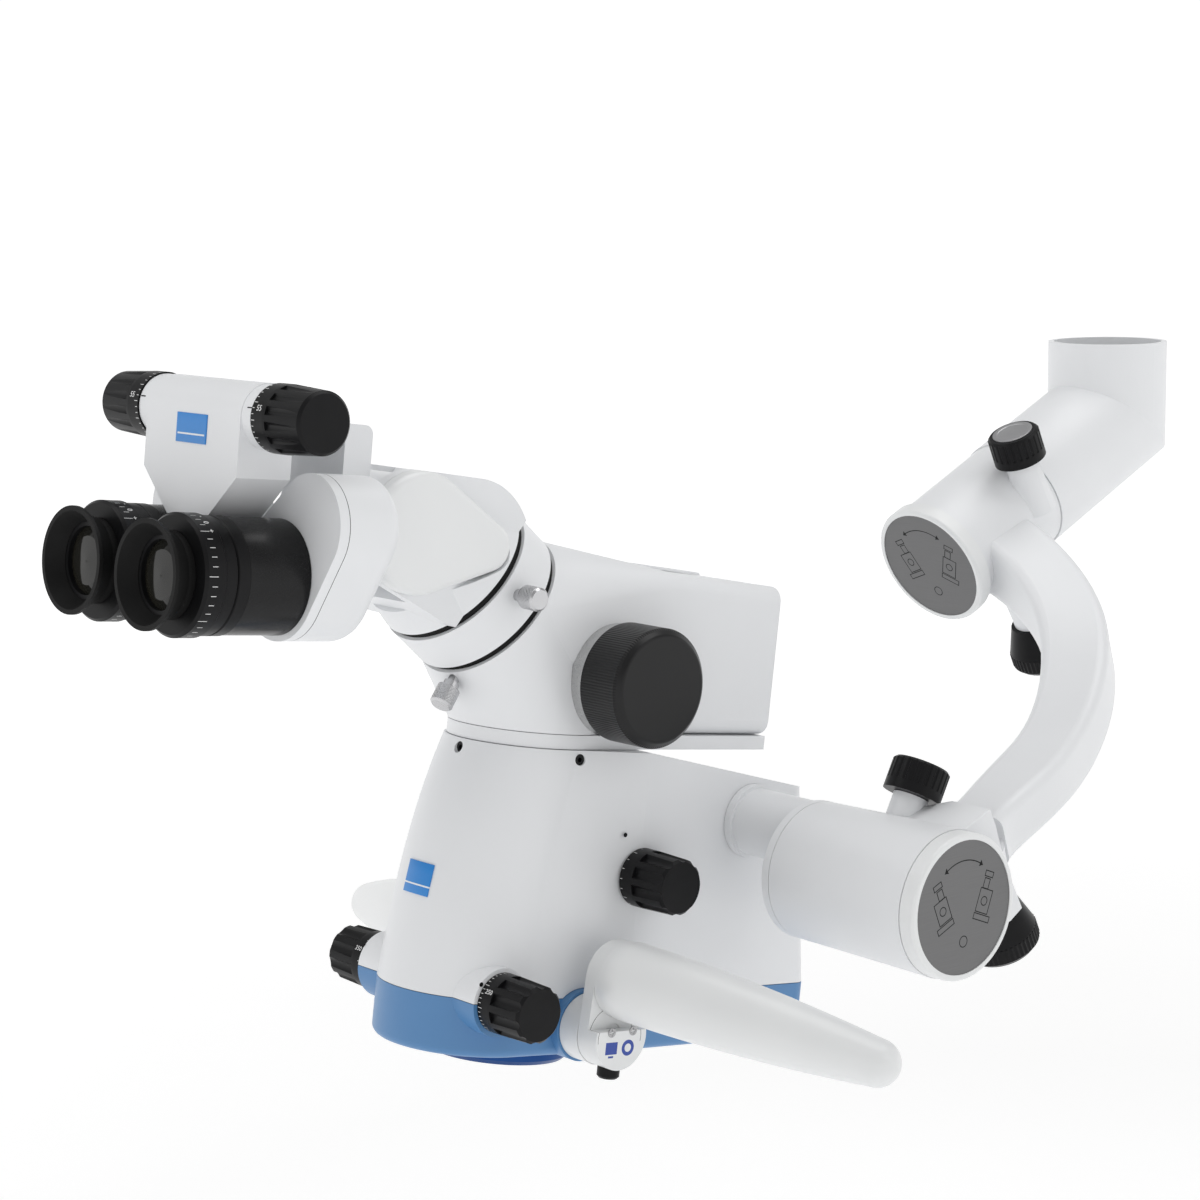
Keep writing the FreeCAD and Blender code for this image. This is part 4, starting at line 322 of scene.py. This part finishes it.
material, tree, shader = new_material("disc_metal", Metallic=0.75, Anisotropic=0.3)
upper_point = axes(tree, coordinates(tree, pendulum))
lower_point = axes(tree, coordinates(tree, tilt @ spin("Z", 90) @ spin("X", 90)))
height = axes(tree, coordinates(tree))[2]
between_discs = -0.13
is_upper = height > between_discs
upper_print = disc_print(upper_point[0] * 1000, upper_point[1] * 1000)
lower_print = disc_print(lower_point[0] * 1000, lower_point[1] * 1000)
disc_mask = upper_print * is_upper + lower_print * (1 - is_upper)
strokes = node(tree, "ShaderNodeCombineXYZ", None,
               {0: (upper_point[0] * is_upper + lower_point[0] * (1 - is_upper)) * 60,
                1: (upper_point[1] * is_upper + lower_point[1] * (1 - is_upper)) * 3400})
brushing = noise(tree, strokes, 1, 3)
metal = blend_colours(tree, brushing, (0.15, 0.15, 0.152), (0.21, 0.21, 0.212))
feed(shader, "Base Color", blend_colours(tree, disc_mask, metal, (0.01, 0.01, 0.01)))
feed(shader, "Roughness", 0.40 + brushing * 0.16)
raise_surface(shader, brushing, 0.15, 0.02)
dress(material, "disc_plates")
white_plastic = white_plastic_finish("white_plastic")[0]
dress(white_casting, "swing_arm")
dress(white_plastic, "end_caps")

# Shoulder of the arm.
# A wedge of the same casting where the arm meets the drum: it takes the stud of the large
# tension knob and runs out into the drum towards the microscope.


def settle(piece, name, body, material, place):
    """Move a finished piece into the frame, bake its place and tie it to its body."""
    piece.name = name
    piece.matrix_world = place
    bpy.ops.object.select_all(action="DESELECT")
    piece.select_set(True)
    bpy.context.view_layer.objects.active = piece
    bpy.ops.object.transform_apply(location=True, rotation=True, scale=True)
    piece.data.materials.clear()
    piece.data.materials.append(material)
    bpy.ops.object.shade_smooth_by_angle(angle=math.radians(35))
    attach(piece, body)


def round_edges(piece, width, segments=2):
    """Round the sharp edges of a piece by so many millimetres."""
    bpy.context.view_layer.objects.active = piece
    round_off = piece.modifiers.new("round", "BEVEL")
    round_off.width = width / 1000
    round_off.segments = segments
    round_off.limit_method = "ANGLE"
    bpy.ops.object.modifier_apply(modifier="round")


def cut_away(piece, cutter):
    """Cut one piece out of another and remove the cutter."""
    bpy.ops.object.select_all(action="DESELECT")
    piece.select_set(True)
    bpy.context.view_layer.objects.active = piece
    cut = piece.modifiers.new("cut", "BOOLEAN")
    cut.object = cutter
    cut.operation = "DIFFERENCE"
    bpy.ops.object.modifier_apply(modifier="cut")
    bpy.data.objects.remove(cutter)


def lengthen(distance):
    """Extrude the selected faces along X."""
    bpy.ops.mesh.extrude_region_move(
        TRANSFORM_OT_translate={"value": (distance / 1000, 0, 0)})


def shoulder(outer, inner, low, middle, high, stud):
    """A block along X with this outline, tapered onto the drum at its low end."""
    bpy.ops.object.select_all(action="DESELECT")
    bpy.ops.mesh.primitive_circle_add(vertices=len(outer) + len(inner), fill_type="NGON")
    piece = bpy.context.object
    for vertex, (y, z) in zip(piece.data.vertices, outer + inner):
        vertex.co = (middle / 1000, y / 1000, z / 1000)
    bpy.ops.object.mode_set(mode="EDIT")
    bpy.ops.mesh.select_all(action="SELECT")
    lengthen(high - middle)
    bpy.ops.mesh.select_all(action="DESELECT")
    bpy.ops.mesh.select_mode(type="FACE")
    bpy.ops.object.mode_set(mode="OBJECT")
    for face in piece.data.polygons:
        corners = [piece.data.vertices[i].co.x * 1000 for i in face.vertices]
        face.select = all(abs(corner - middle) < 0.01 for corner in corners)
    bpy.ops.object.mode_set(mode="EDIT")
    lengthen(low - middle)
    bpy.ops.object.mode_set(mode="OBJECT")
    drum_skin = 0.0315
    for vertex in piece.data.vertices:
        reach = math.hypot(vertex.co.y, vertex.co.z)
        if vertex.co.x < (low + 1) / 1000 and reach > drum_skin:
            vertex.co.y *= drum_skin / reach
            vertex.co.z *= drum_skin / reach
    bpy.ops.object.mode_set(mode="EDIT")
    bpy.ops.mesh.select_all(action="SELECT")
    bpy.ops.mesh.normals_make_consistent(inside=False)
    bpy.ops.object.mode_set(mode="OBJECT")
    round_edges(piece, 1.6, segments=4)
    bpy.ops.object.select_all(action="DESELECT")
    bpy.ops.mesh.primitive_cylinder_add(vertices=48, radius=0.0036, depth=0.06)
    stud_hole = bpy.context.object
    stud_hole.matrix_world = stud
    cut_away(piece, stud_hole)
    return piece


tension_boss = shift(150, 41.6, 0) @ spin("X", 205)
outer = [(27.5, 37.0), (31.2, 29.2), (37.4, 11.6), (42.2, 2.7), (49.5, -11.3), (41.9, -15.8)]
inner = [(24.0, -20.0), (28.0, -12.0), (30.2, -1.0), (28.3, 10.0), (20.5, 22.0), (9.0, 29.5)]
settle(shoulder(outer, inner, 120, 146, 168, tension_boss),
       "arm_shoulder", "arm", white_casting, tilt)

# Brake knobs and tension knobs.
# Black moulded knobs on studs: the two fluted ones clamp the joints and the two large cone
# shaped ones set their drag. The moulding is satin with a faint grain.


def black_plastic_finish(name):
    """Black moulded plastic."""
    material, tree, shader = new_material(name, Specular_IOR_Level=0.14)
    point = coordinates(tree)
    cloud = noise(tree, point, 90, 3)
    grain = noise(tree, point, 3000, 2)
    feed(shader, "Base Color",
         blend_colours(tree, cloud, (0.006, 0.006, 0.0065), (0.0102, 0.0102, 0.01105)))
    feed(shader, "Roughness", 0.26 + grain * 0.12 + cloud * 0.06)
    raise_surface(shader, grain, 0.16, 0.03)
    return material, tree, shader


black_plastic = black_plastic_finish("black_plastic")[0]
dress(black_plastic, "swing_brake_knob", "tilt_brake_knob", "swing_tension_knob",
      "tilt_tension_knob")

# Teeth of the tension knobs.
# Each cone shaped knob has a band of fine teeth round its wide rim, moulded in one with it,
# so that the fingers hold it while it is set.


def toothed_ring(radius, inner, low, high, teeth):
    """A ring with small rounded teeth."""
    bpy.ops.object.select_all(action="DESELECT")
    bpy.ops.mesh.primitive_cylinder_add(vertices=teeth * 4, radius=radius / 1000,
                                        depth=(high - low) / 1000, end_fill_type="NOTHING",
                                        location=(0, 0, (high + low) / 2000))
    piece = bpy.context.object
    bpy.ops.object.transform_apply(location=True)
    tooth_depth = 0.5
    for vertex in piece.data.vertices:
        turn = math.atan2(vertex.co.y, vertex.co.x) * teeth
        scale = 1 - (tooth_depth / radius) * (0.5 - 0.5 * math.cos(turn))
        vertex.co.x *= scale
        vertex.co.y *= scale
    thick = piece.modifiers.new("wall", "SOLIDIFY")
    thick.thickness = (radius - inner) / 1000
    thick.offset = -1
    bpy.ops.object.modifier_apply(modifier="wall")
    return piece


swing_tension = pendulum @ shift(20, 0, 112) @ spin("X", 90) @ shift(z=54.3)
tilt_tension = tilt @ tension_boss @ shift(z=13.8)
for body, place in (("swing_tension", swing_tension), ("tilt_tension", tilt_tension)):
    teeth = toothed_ring(radius=17.9, inner=17.2, low=14.6, high=20.8, teeth=48)
    settle(teeth, body + "_teeth", body, black_plastic, place)

# Disc of the upper brake knob.
# A small disc of pale metal with a fine groove inside its rim, pressed into the top of the
# knob.


def knob_disc(radius, thick):
    """A flat disc with a groove near its rim."""
    bpy.ops.object.select_all(action="DESELECT")
    bpy.ops.mesh.primitive_cylinder_add(vertices=64, radius=radius / 1000, depth=thick / 1000)
    piece = bpy.context.object
    bpy.ops.object.mode_set(mode="EDIT")
    bpy.ops.mesh.select_mode(type="FACE")
    bpy.ops.mesh.select_all(action="DESELECT")
    bpy.ops.object.mode_set(mode="OBJECT")
    for face in piece.data.polygons:
        face.select = face.normal.z > 0.9
    bpy.ops.object.mode_set(mode="EDIT")
    bpy.ops.mesh.inset(thickness=0.0022)
    bpy.ops.mesh.inset(thickness=0.0003, depth=-0.0002)
    bpy.ops.object.mode_set(mode="OBJECT")
    round_edges(piece, 0.08)
    return piece


swing_brake = pendulum @ shift(24.5, 0, 93) @ spin("X", -90) @ shift(z=31.3)
pale_metal = ground_steel("pale_disc", (0.50, 0.50, 0.51), 0.34)
settle(knob_disc(10.2, 0.7), "swing_brake_disc", "swing_brake", pale_metal,
       swing_brake @ shift(z=15.3))

# Tilt spindle.
# The spindle is part of the head's casting and turns in two bronze bushings inside the drum,
# on a shaft that is painted like the casting.
bronze = ground_steel("bronze", (0.55, 0.36, 0.16), 0.3)
dress(white_casting, "tilt_spindle", "tilt_shaft")
dress(bronze, "tilt_bushings")

# Body housing and blue base.
# The housing is a white casting. The lower shell is moulded in blue and screwed on from below,
# and the dark line between them is the open joint.
head = tilt @ spin("X", -8.5)
dress(white_casting, "body_housing")
material, tree, shader = new_material("blue_plastic", Coat_Weight=0.15, Coat_Roughness=0.25)
point = coordinates(tree)
cloud = noise(tree, point, 26, 3)
grain = noise(tree, point, 1500, 3)
feed(shader, "Base Color",
     blend_colours(tree, cloud, (0.070, 0.205, 0.43), (0.086, 0.235, 0.47)))
feed(shader, "Roughness", 0.34 + grain * 0.16)
raise_surface(shader, grain, 0.34, 0.12)
dress(material, "base_cover")

# Plain blue plates.
# Thin bright blue plates with a pale line across: one is stuck on the shield between the
# eyepieces, the other is bent round the nose of the housing.
carrier = shift(0, -485.89, -52.13) @ spin("X", -7)


def plate_material(name, place, line_height):
    """Bright blue plate with a pale line at this height."""
    material, tree, shader = new_material(name, Coat_Weight=0.3, Coat_Roughness=0.12)
    point = coordinates(tree, place)
    x, z = axes(tree, point)[::2]
    line = (abs(z * 1000 - line_height) < 0.35) * (abs(x * 1000) < 9.6)
    grain = noise(tree, point, 900, 2)
    blue = blend_colours(tree, grain, (0.004, 0.20, 0.58), (0.006, 0.22, 0.63))
    feed(shader, "Base Color", blend_colours(tree, line, blue, (0.75, 0.78, 0.8)))
    feed(shader, "Roughness", 0.28 + grain * 0.1)
    return material


def name_plate(width, height, thick, bend=None):
    """A thin plate in the XZ plane facing -Y, bent round a cylinder if a radius is given."""
    bpy.ops.object.select_all(action="DESELECT")
    bpy.ops.mesh.primitive_grid_add(x_subdivisions=24, y_subdivisions=3, size=1)
    piece = bpy.context.object
    for vertex in piece.data.vertices:
        x, y, z = vertex.co.x * width, 0.0, vertex.co.y * height
        if bend:
            x, y = math.sin(x / bend) * bend, (1 - math.cos(x / bend)) * bend
        vertex.co = (x / 1000, y / 1000, z / 1000)
    wall = piece.modifiers.new("wall", "SOLIDIFY")
    wall.thickness = thick / 1000
    wall.offset = 0
    bpy.ops.object.modifier_apply(modifier="wall")
    round_edges(piece, 0.12)
    bpy.ops.object.mode_set(mode="EDIT")
    bpy.ops.mesh.select_all(action="SELECT")
    bpy.ops.mesh.normals_make_consistent(inside=False)
    bpy.ops.object.mode_set(mode="OBJECT")
    return piece


shield_place = carrier @ shift(0, -93.95, 36.9)
settle(name_plate(21.6, 11.9, 0.5), "shield_plate", "binocular",
       plate_material("shield_plate_blue", shield_place, -2.4), shield_place)
nose_place = head @ shift(0, -155.75, -15.5) @ spin("X", -9.5)
settle(name_plate(17.0, 14.2, 0.6, bend=39.6), "nose_plate", "head",
       plate_material("nose_plate_blue", nose_place, -3.0), nose_place)

# Index dots.
# Small black lacquer dots on the housing mark the zero of the knobs beside them.


def dot(radius, thick):
    """A flat dot with a rounded rim."""
    bpy.ops.object.select_all(action="DESELECT")
    bpy.ops.mesh.primitive_cylinder_add(vertices=32, radius=radius / 1000, depth=thick / 1000)
    piece = bpy.context.object
    round_edges(piece, thick / 5)
    return piece


for name, place in (("dot_right", (45.1, -77, 9.6)), ("dot_left", (-45.1, -77, 9.6)),
                    ("dot_focus_right", (41.6, -148.5, -54.5)),
                    ("dot_focus_left", (-41.6, -148.5, -54.5))):
    settle(dot(1.0, 0.3), name, "head", black_plastic,
           head @ shift(*place) @ spin("Y", 90))

# Objective.
# A blue anodised ring screwed into the base holds the coated front lens; a black cell above
# it carries the focusing lens.
material, tree, shader = new_material("deep_blue", Metallic=0.8)
point = coordinates(tree, head @ shift(y=-101.5))
turning = (axes(tree, point)[2] * 9000).sum("SINE") * 0.5 + 0.5
cloud = noise(tree, point, 70, 2)
feed(shader, "Base Color",
     blend_colours(tree, cloud, (0.012, 0.055, 0.20), (0.016, 0.07, 0.24)))
feed(shader, "Roughness", 0.26 + cloud * 0.12)
raise_surface(shader, turning, 0.15, 0.03)
dress(material, "objective_ring")


def coated_glass(name, painted_rim_reflection):
    """Dark coated glass with a painted reflection: its colour turns from near black to a coloured
    tint towards its rim.
    """
    material, tree, shader = new_material(name, Specular_IOR_Level=0.35)
    rim = node(tree, "ShaderNodeLayerWeight", None, {"Blend": 0.4}, 1)
    dust = noise(tree, coordinates(tree), 240, 2)
    # Painted reflection: the colour turns to the tint where the glass faces away from the view.
    feed(shader, "Base Color", blend_colours(tree, rim, (0.002, 0.003, 0.005), painted_rim_reflection))
    feed(shader, "Roughness", 0.03 + dust * 0.05)
    return material


dress(coated_glass("optical_glass", (0.03, 0.02, 0.06)), "objective_lens")


def anodised_black(name):
    """Black anodised aluminium with fine turning lines."""
    material, tree, shader = new_material(name, Specular_IOR_Level=0.2, Coat_Weight=0.05,
                                          Coat_Roughness=0.1)
    point = coordinates(tree)
    cloud = noise(tree, point, 80, 2)
    grain = noise(tree, point, 3200, 2)
    feed(shader, "Base Color",
         blend_colours(tree, cloud, (0.005, 0.005, 0.0055), (0.010, 0.010, 0.0105)))
    feed(shader, "Roughness", 0.20 + grain * 0.12)
    raise_surface(shader, grain, 0.08, 0.02)
    return material


black_metal = anodised_black("black_metal")
dress(black_metal, "focus_lens_cell")

# Magnification and focus knobs.
# Both pairs are fluted black mouldings pressed on a shaft through the body. White ticks are
# printed round the smooth band at the foot of each knob.


def colour_so_far(tree, shader):
    """The colour that a finish has before something is printed on it."""
    return Value(tree, shader.inputs["Base Color"].links[0].from_socket)


def side_frame(place, y, z, side=1):
    """Frame on the left or right of a body, with its Z pointing outwards."""
    return place @ shift(0, y, z) @ spin("Y", 90 * side)


def ticked(name, place, radius, low, high, step, long_every=5):
    """Black plastic with white ticks round a band of the piece, some of them longer."""
    material, tree, shader = black_plastic_finish(name + "_finish")
    x, y, z = [value * 1000 for value in axes(tree, coordinates(tree, place))]
    angle = y.sum("ARCTAN2", x) * (180 / math.pi) + 360
    reach = (x * x + y * y).sum("SQRT")
    spacing = radius * math.radians(step)
    near = abs((angle / step).sum("FRACT") - 0.5) < 0.13 / spacing
    turns = (angle / (step * long_every)).sum("FRACT")
    near_long = abs(turns - 0.5 / long_every) < 0.6 / (spacing * long_every)
    foot = z - low
    span = high - low
    tick = near * (foot > 0) * (foot < span * 0.6 + near_long * span * 0.4) * (
        reach > radius - 0.5)
    feed(shader, "Base Color",
         blend_colours(tree, tick, colour_so_far(tree, shader), (0.82, 0.82, 0.82)))
    dress(material, name)


mag_axis, focus_axis = (-65, -9.6), (-136.5, -63)
mag_reach, focus_reach = 45.3, 41.8
for side, word in ((1, "right"), (-1, "left")):
    for kind, axis, reach, step in (("mag", mag_axis, mag_reach, 20),
                                    ("focus", focus_axis, focus_reach, 9)):
        place = side_frame(head, *axis, side) @ shift(z=reach)
        ticked("%s_knob_%s" % (kind, word), place, 13.2, 0.4, 2.8, step)
dress(black_metal, "magnification_drum")
dress(bearing_steel, "focus_shaft")

# Numbers on the dials.
# The working distance on the focus knobs, the eye distance on the knobs beside the eyepieces
# and the signs on the dioptre rings are printed in white beside the ticks.
white_ink, tree, shader = new_material("white_ink", Coat_Weight=0.1)
speck = noise(tree, coordinates(tree), 2200, 2)
feed(shader, "Base Color", blend_colours(tree, speck, (0.74, 0.74, 0.74), (0.84, 0.84, 0.84)))
feed(shader, "Roughness", 0.4 + speck * 0.15)


def figures(words, size, place, name, body, bend):
    """Printed figures, bent round a turned piece of this radius."""
    bpy.ops.object.select_all(action="DESELECT")
    bpy.ops.object.text_add(location=(0, 0, 0))
    piece = bpy.context.object
    piece.data.body = words
    piece.data.size = size / 1000
    piece.data.align_x = "CENTER"
    piece.data.align_y = "CENTER"
    piece.data.extrude = 0.00005
    bpy.ops.object.convert(target="MESH")
    piece = bpy.context.object
    piece.matrix_world = Matrix()
    bend /= 1000
    for vertex in piece.data.vertices:
        vertex.co.z -= bend - math.sqrt(max(bend ** 2 - vertex.co.y ** 2, 0))
    settle(piece, name, body, white_ink, place)


def on_barrel(place, radius, angle, z, turn):
    """Frame on the side of a turned piece, its Z outwards and its X along the axis."""
    return place @ spin("Z", angle) @ shift(x=radius, z=z) @ spin("Y", 90) @ spin("Z", turn)


# Set screws, dovetail and neck.
# Three black screws lock the turned dovetail of the neck. The neck and its box are one white
# casting with a small lid, and a second lid of turned metal closes the side port.
machined = ground_steel("machined_metal", (0.62, 0.62, 0.62), 0.22)
dress(black_metal, "set_screws")
dress(machined, "dovetail_plate", "port_collar")
dress(white_casting, "neck_base", "neck_housing", "neck_lid")
port = side_frame(head, -85, 77.5)


def knurled(name, place, base, teeth, slant, low, high, radius, metallic, rough):
    """Turned metal whose rim is knurled between two heights."""
    material, tree, shader = new_material(name, Metallic=metallic, Specular_IOR_Level=0.3)
    point = coordinates(tree, place)
    x, y, z = [value * 1000 for value in axes(tree, point)]
    angle = y.sum("ARCTAN2", x)
    first = ((angle * teeth + z * slant).sum("SINE")) * 0.5 + 0.5
    second = ((angle * teeth - z * slant).sum("SINE")) * 0.5 + 0.5
    rim = band(z, low, high) * ((x * x + y * y).sum("SQRT") > radius)
    cut = first.sum("MAXIMUM", second) if slant else first
    cloud = noise(tree, point, 120, 2)
    light = tuple(min(part * 1.25, 1.0) for part in base)
    feed(shader, "Base Color", blend_colours(tree, cloud, base, light))
    feed(shader, "Roughness", rough + cloud * 0.1 + cut * rim * 0.12)
    raise_surface(shader, cut * rim, 0.5, 0.25)
    return material


dress(knurled("port_cap_black", port, (0.006, 0.006, 0.0065), teeth=130, slant=0, low=30.0,
              high=66.0, radius=25.6, metallic=0.0, rough=0.26), "port_cap")
ring = head @ shift(y=-134.3, z=106.5) @ spin("X", 55)
for word, height, turn, reach in (("neck", -5, 10, 37.5), ("ring", 13.3, 88, 37.2)):
    place = ring @ shift(z=height) @ spin("Z", turn) @ shift(y=-reach) @ spin("X", 90)
    dress(knurled(word + "_screw_knurl", place, (0.50, 0.50, 0.51), teeth=22, slant=3.0, low=6.4,
                  high=14.2, radius=4.6, metallic=1.0, rough=0.2), word + "_thumbscrew")

# Rotation ring and binocular tube.
# The white ring turns between two black rubber seals. The tube is a white casting with a
# moulded round cover on each side of its hinge and a mirror inside.


def rubber(name):
    """Matt black rubber with a soft sheen."""
    material, tree, shader = new_material(name, Specular_IOR_Level=0.12)
    point = coordinates(tree)
    cloud = noise(tree, point, 110, 2)
    grain = noise(tree, point, 2600, 2)
    feed(shader, "Base Color",
         blend_colours(tree, cloud, (0.006, 0.006, 0.006), (0.011, 0.011, 0.011)))
    feed(shader, "Roughness", 0.46 + grain * 0.14)
    raise_surface(shader, grain, 0.2, 0.05)
    return material


black_rubber = rubber("black_rubber")
dress(white_casting, "rotation_ring", "tube_body")
dress(black_rubber, "ring_seals")
dress(white_plastic, "hinge_covers")
dress(bearing_steel, "hinge_pin")
mirror, tree, shader = new_material("mirror_glass", Metallic=1.0)
dust = noise(tree, coordinates(tree), 300, 2)
feed(shader, "Base Color", blend_colours(tree, dust, (0.80, 0.80, 0.82), (0.84, 0.84, 0.86)))
feed(shader, "Roughness", 0.02 + dust * 0.04)
dress(mirror, "tube_mirror")

# Carrier, cross tube and its knobs.
# The white carrier holds the cross tube with its shield. A knob at each end of the tube turns
# the spindle that spreads the eyepieces, against an index line on the white collar.
dress(white_casting, "carrier", "pd_cover")
dress(bearing_steel, "pd_spindle")
spindle_axis, pd_reach, pd_radius = (-80.2, 44.1), 40.8, 14.0
for side, word in ((1, "right"), (-1, "left")):
    spindle = side_frame(carrier, *spindle_axis, side)
    place = spindle @ shift(z=pd_reach)
    ticked("pd_knob_" + word, place, pd_radius, 0.4, 2.6, 10, 3)
    front, upright = (-105, 180) if side > 0 else (-75, 0)
    facing = on_barrel(place, pd_radius + 0.06, front, 4.9, upright)
    figures("55", 3.4, facing, "eye_distance_" + word, "pd", pd_radius)
    index_place = on_barrel(spindle, 13.35, front, 38.4, 0)
    bpy.ops.object.select_all(action="DESELECT")
    bpy.ops.mesh.primitive_cube_add(size=1, scale=(0.0032, 0.0005, 0.00016))
    line = bpy.context.object
    bpy.ops.object.transform_apply(scale=True)
    round_edges(line, 0.04, segments=1)
    settle(line, "index_line_" + word, "binocular", black_plastic, index_place)

# Focus figures.
# One white figure on the smooth band of each focus knob gives the working distance at the
# index dot.
for side, word, words in ((1, "right", "250"), (-1, "left", "350")):
    place = side_frame(head, *focus_axis, side) @ shift(z=focus_reach)
    front, upright = (-118, 180) if side > 0 else (-62, 0)
    figures(words, 3.0, on_barrel(place, 13.26, front, 4.9, upright),
            "focus_figure_" + word, "focus", 13.2)

# Prism housings and eyepieces.
# Each housing is a white casting that slides on the carrier. The eyepiece tube is black
# anodised, its dioptre ring has white ticks, and a soft cup folds over the coated eye lens.
seamed, tree, shader = powder_coat("prism_housing_coat")
depth = axes(tree, coordinates(tree, carrier))[1] * 1000
cover_joint = abs(depth + 61.6) < 0.16
feed(shader, "Base Color",
     blend_colours(tree, cover_joint, colour_so_far(tree, shader), (0.03, 0.03, 0.03)))
for side, word in ((1, "right"), (-1, "left")):
    dress(seamed, "prism_housing_" + word)
    dress(black_metal, "eyepiece_tube_" + word)
    place = carrier @ shift(27.5 * side, 0, -19.8) @ spin("X", 90) @ shift(z=66.4)
    ticked("diopter_ring_" + word, place, 24.7, 44.9, 49.0, 9)
    for words, angle in (("0", 62), ("+", 50), ("-", 74)):
        figures(words, 3.2, on_barrel(place, 24.76, angle, 43.6, 90),
                "diopter_%s_%d" % (word, angle), word + "_dial", 200)
    dress(black_rubber, "eyecup_" + word)
    dress(coated_glass("eye_glass_" + word, (0.03, 0.028, 0.02)), "eyepiece_lens_" + word)

# Handles.
# A turned base holds each arm, a moulded piece with a cone shaped grip of the same white
# plastic. The right one has a push button below and two small screws in its outer face.
handle_right = side_frame(head, -90.5, -75, 1)
dress(white_plastic, "handle_bases", "handle_arm_left", "handle_grip_right", "handle_grip_left")
dress(black_plastic, "handle_button")
material, tree, shader = white_plastic_finish("handle_arm_right_finish")
down, back, out = [value * 1000 for value in axes(tree, coordinates(tree, handle_right))]
reach = (down * down + (back + 1.0) * (back + 1.0)).sum("SQRT")
seam = (abs(reach - 12.4) < 0.13) * (down < 2.0) * (out > 60)
face = out > 70.0
block = ((abs(back + 5.2) - 3.4).sum("MAXIMUM", abs(down - 4.4) - 2.7)) < 0
bar = ((abs(back + 5.2) - 1.5).sum("MAXIMUM", abs(down - 8.2) - 0.45)) < 0
ring_reach = ((down - 4.6) * (down - 4.6) + (back - 4.4) * (back - 4.4)).sum("SQRT")
lens_ring = abs(ring_reach - 2.7) < 0.85
blue_mark = block.sum("MAXIMUM", bar).sum("MAXIMUM", lens_ring) * face
marked = blend_colours(tree, blue_mark, colour_so_far(tree, shader), (0.015, 0.055, 0.34))
feed(shader, "Base Color", blend_colours(tree, seam, marked, (0.05, 0.05, 0.05)))
dress(material, "handle_arm_right")
screw_steel = ground_steel("screw_steel", (0.42, 0.42, 0.43), 0.22)


def cross_screw():
    """Countersunk screw head with a cross recess, cut with two crossed bars."""
    bpy.ops.object.select_all(action="DESELECT")
    bpy.ops.mesh.primitive_cylinder_add(vertices=40, radius=0.0021, depth=0.0006)
    piece = bpy.context.object
    for turn in (0, 90):
        bpy.ops.object.select_all(action="DESELECT")
        bpy.ops.mesh.primitive_cube_add(size=1, scale=(0.0029, 0.0006, 0.0008),
                                        location=(0, 0, 0.0003),
                                        rotation=(0, 0, math.radians(turn + 12)))
        cut_away(piece, bpy.context.object)
    round_edges(piece, 0.1)
    return piece


for i, (y, z) in enumerate(((-96.4, -72.4), (-84.0, -72.2))):
    settle(cross_screw(), "handle_screw_%d" % i, "right_handle", screw_steel,
           head @ shift(70.35, y, z) @ spin("Y", 90))
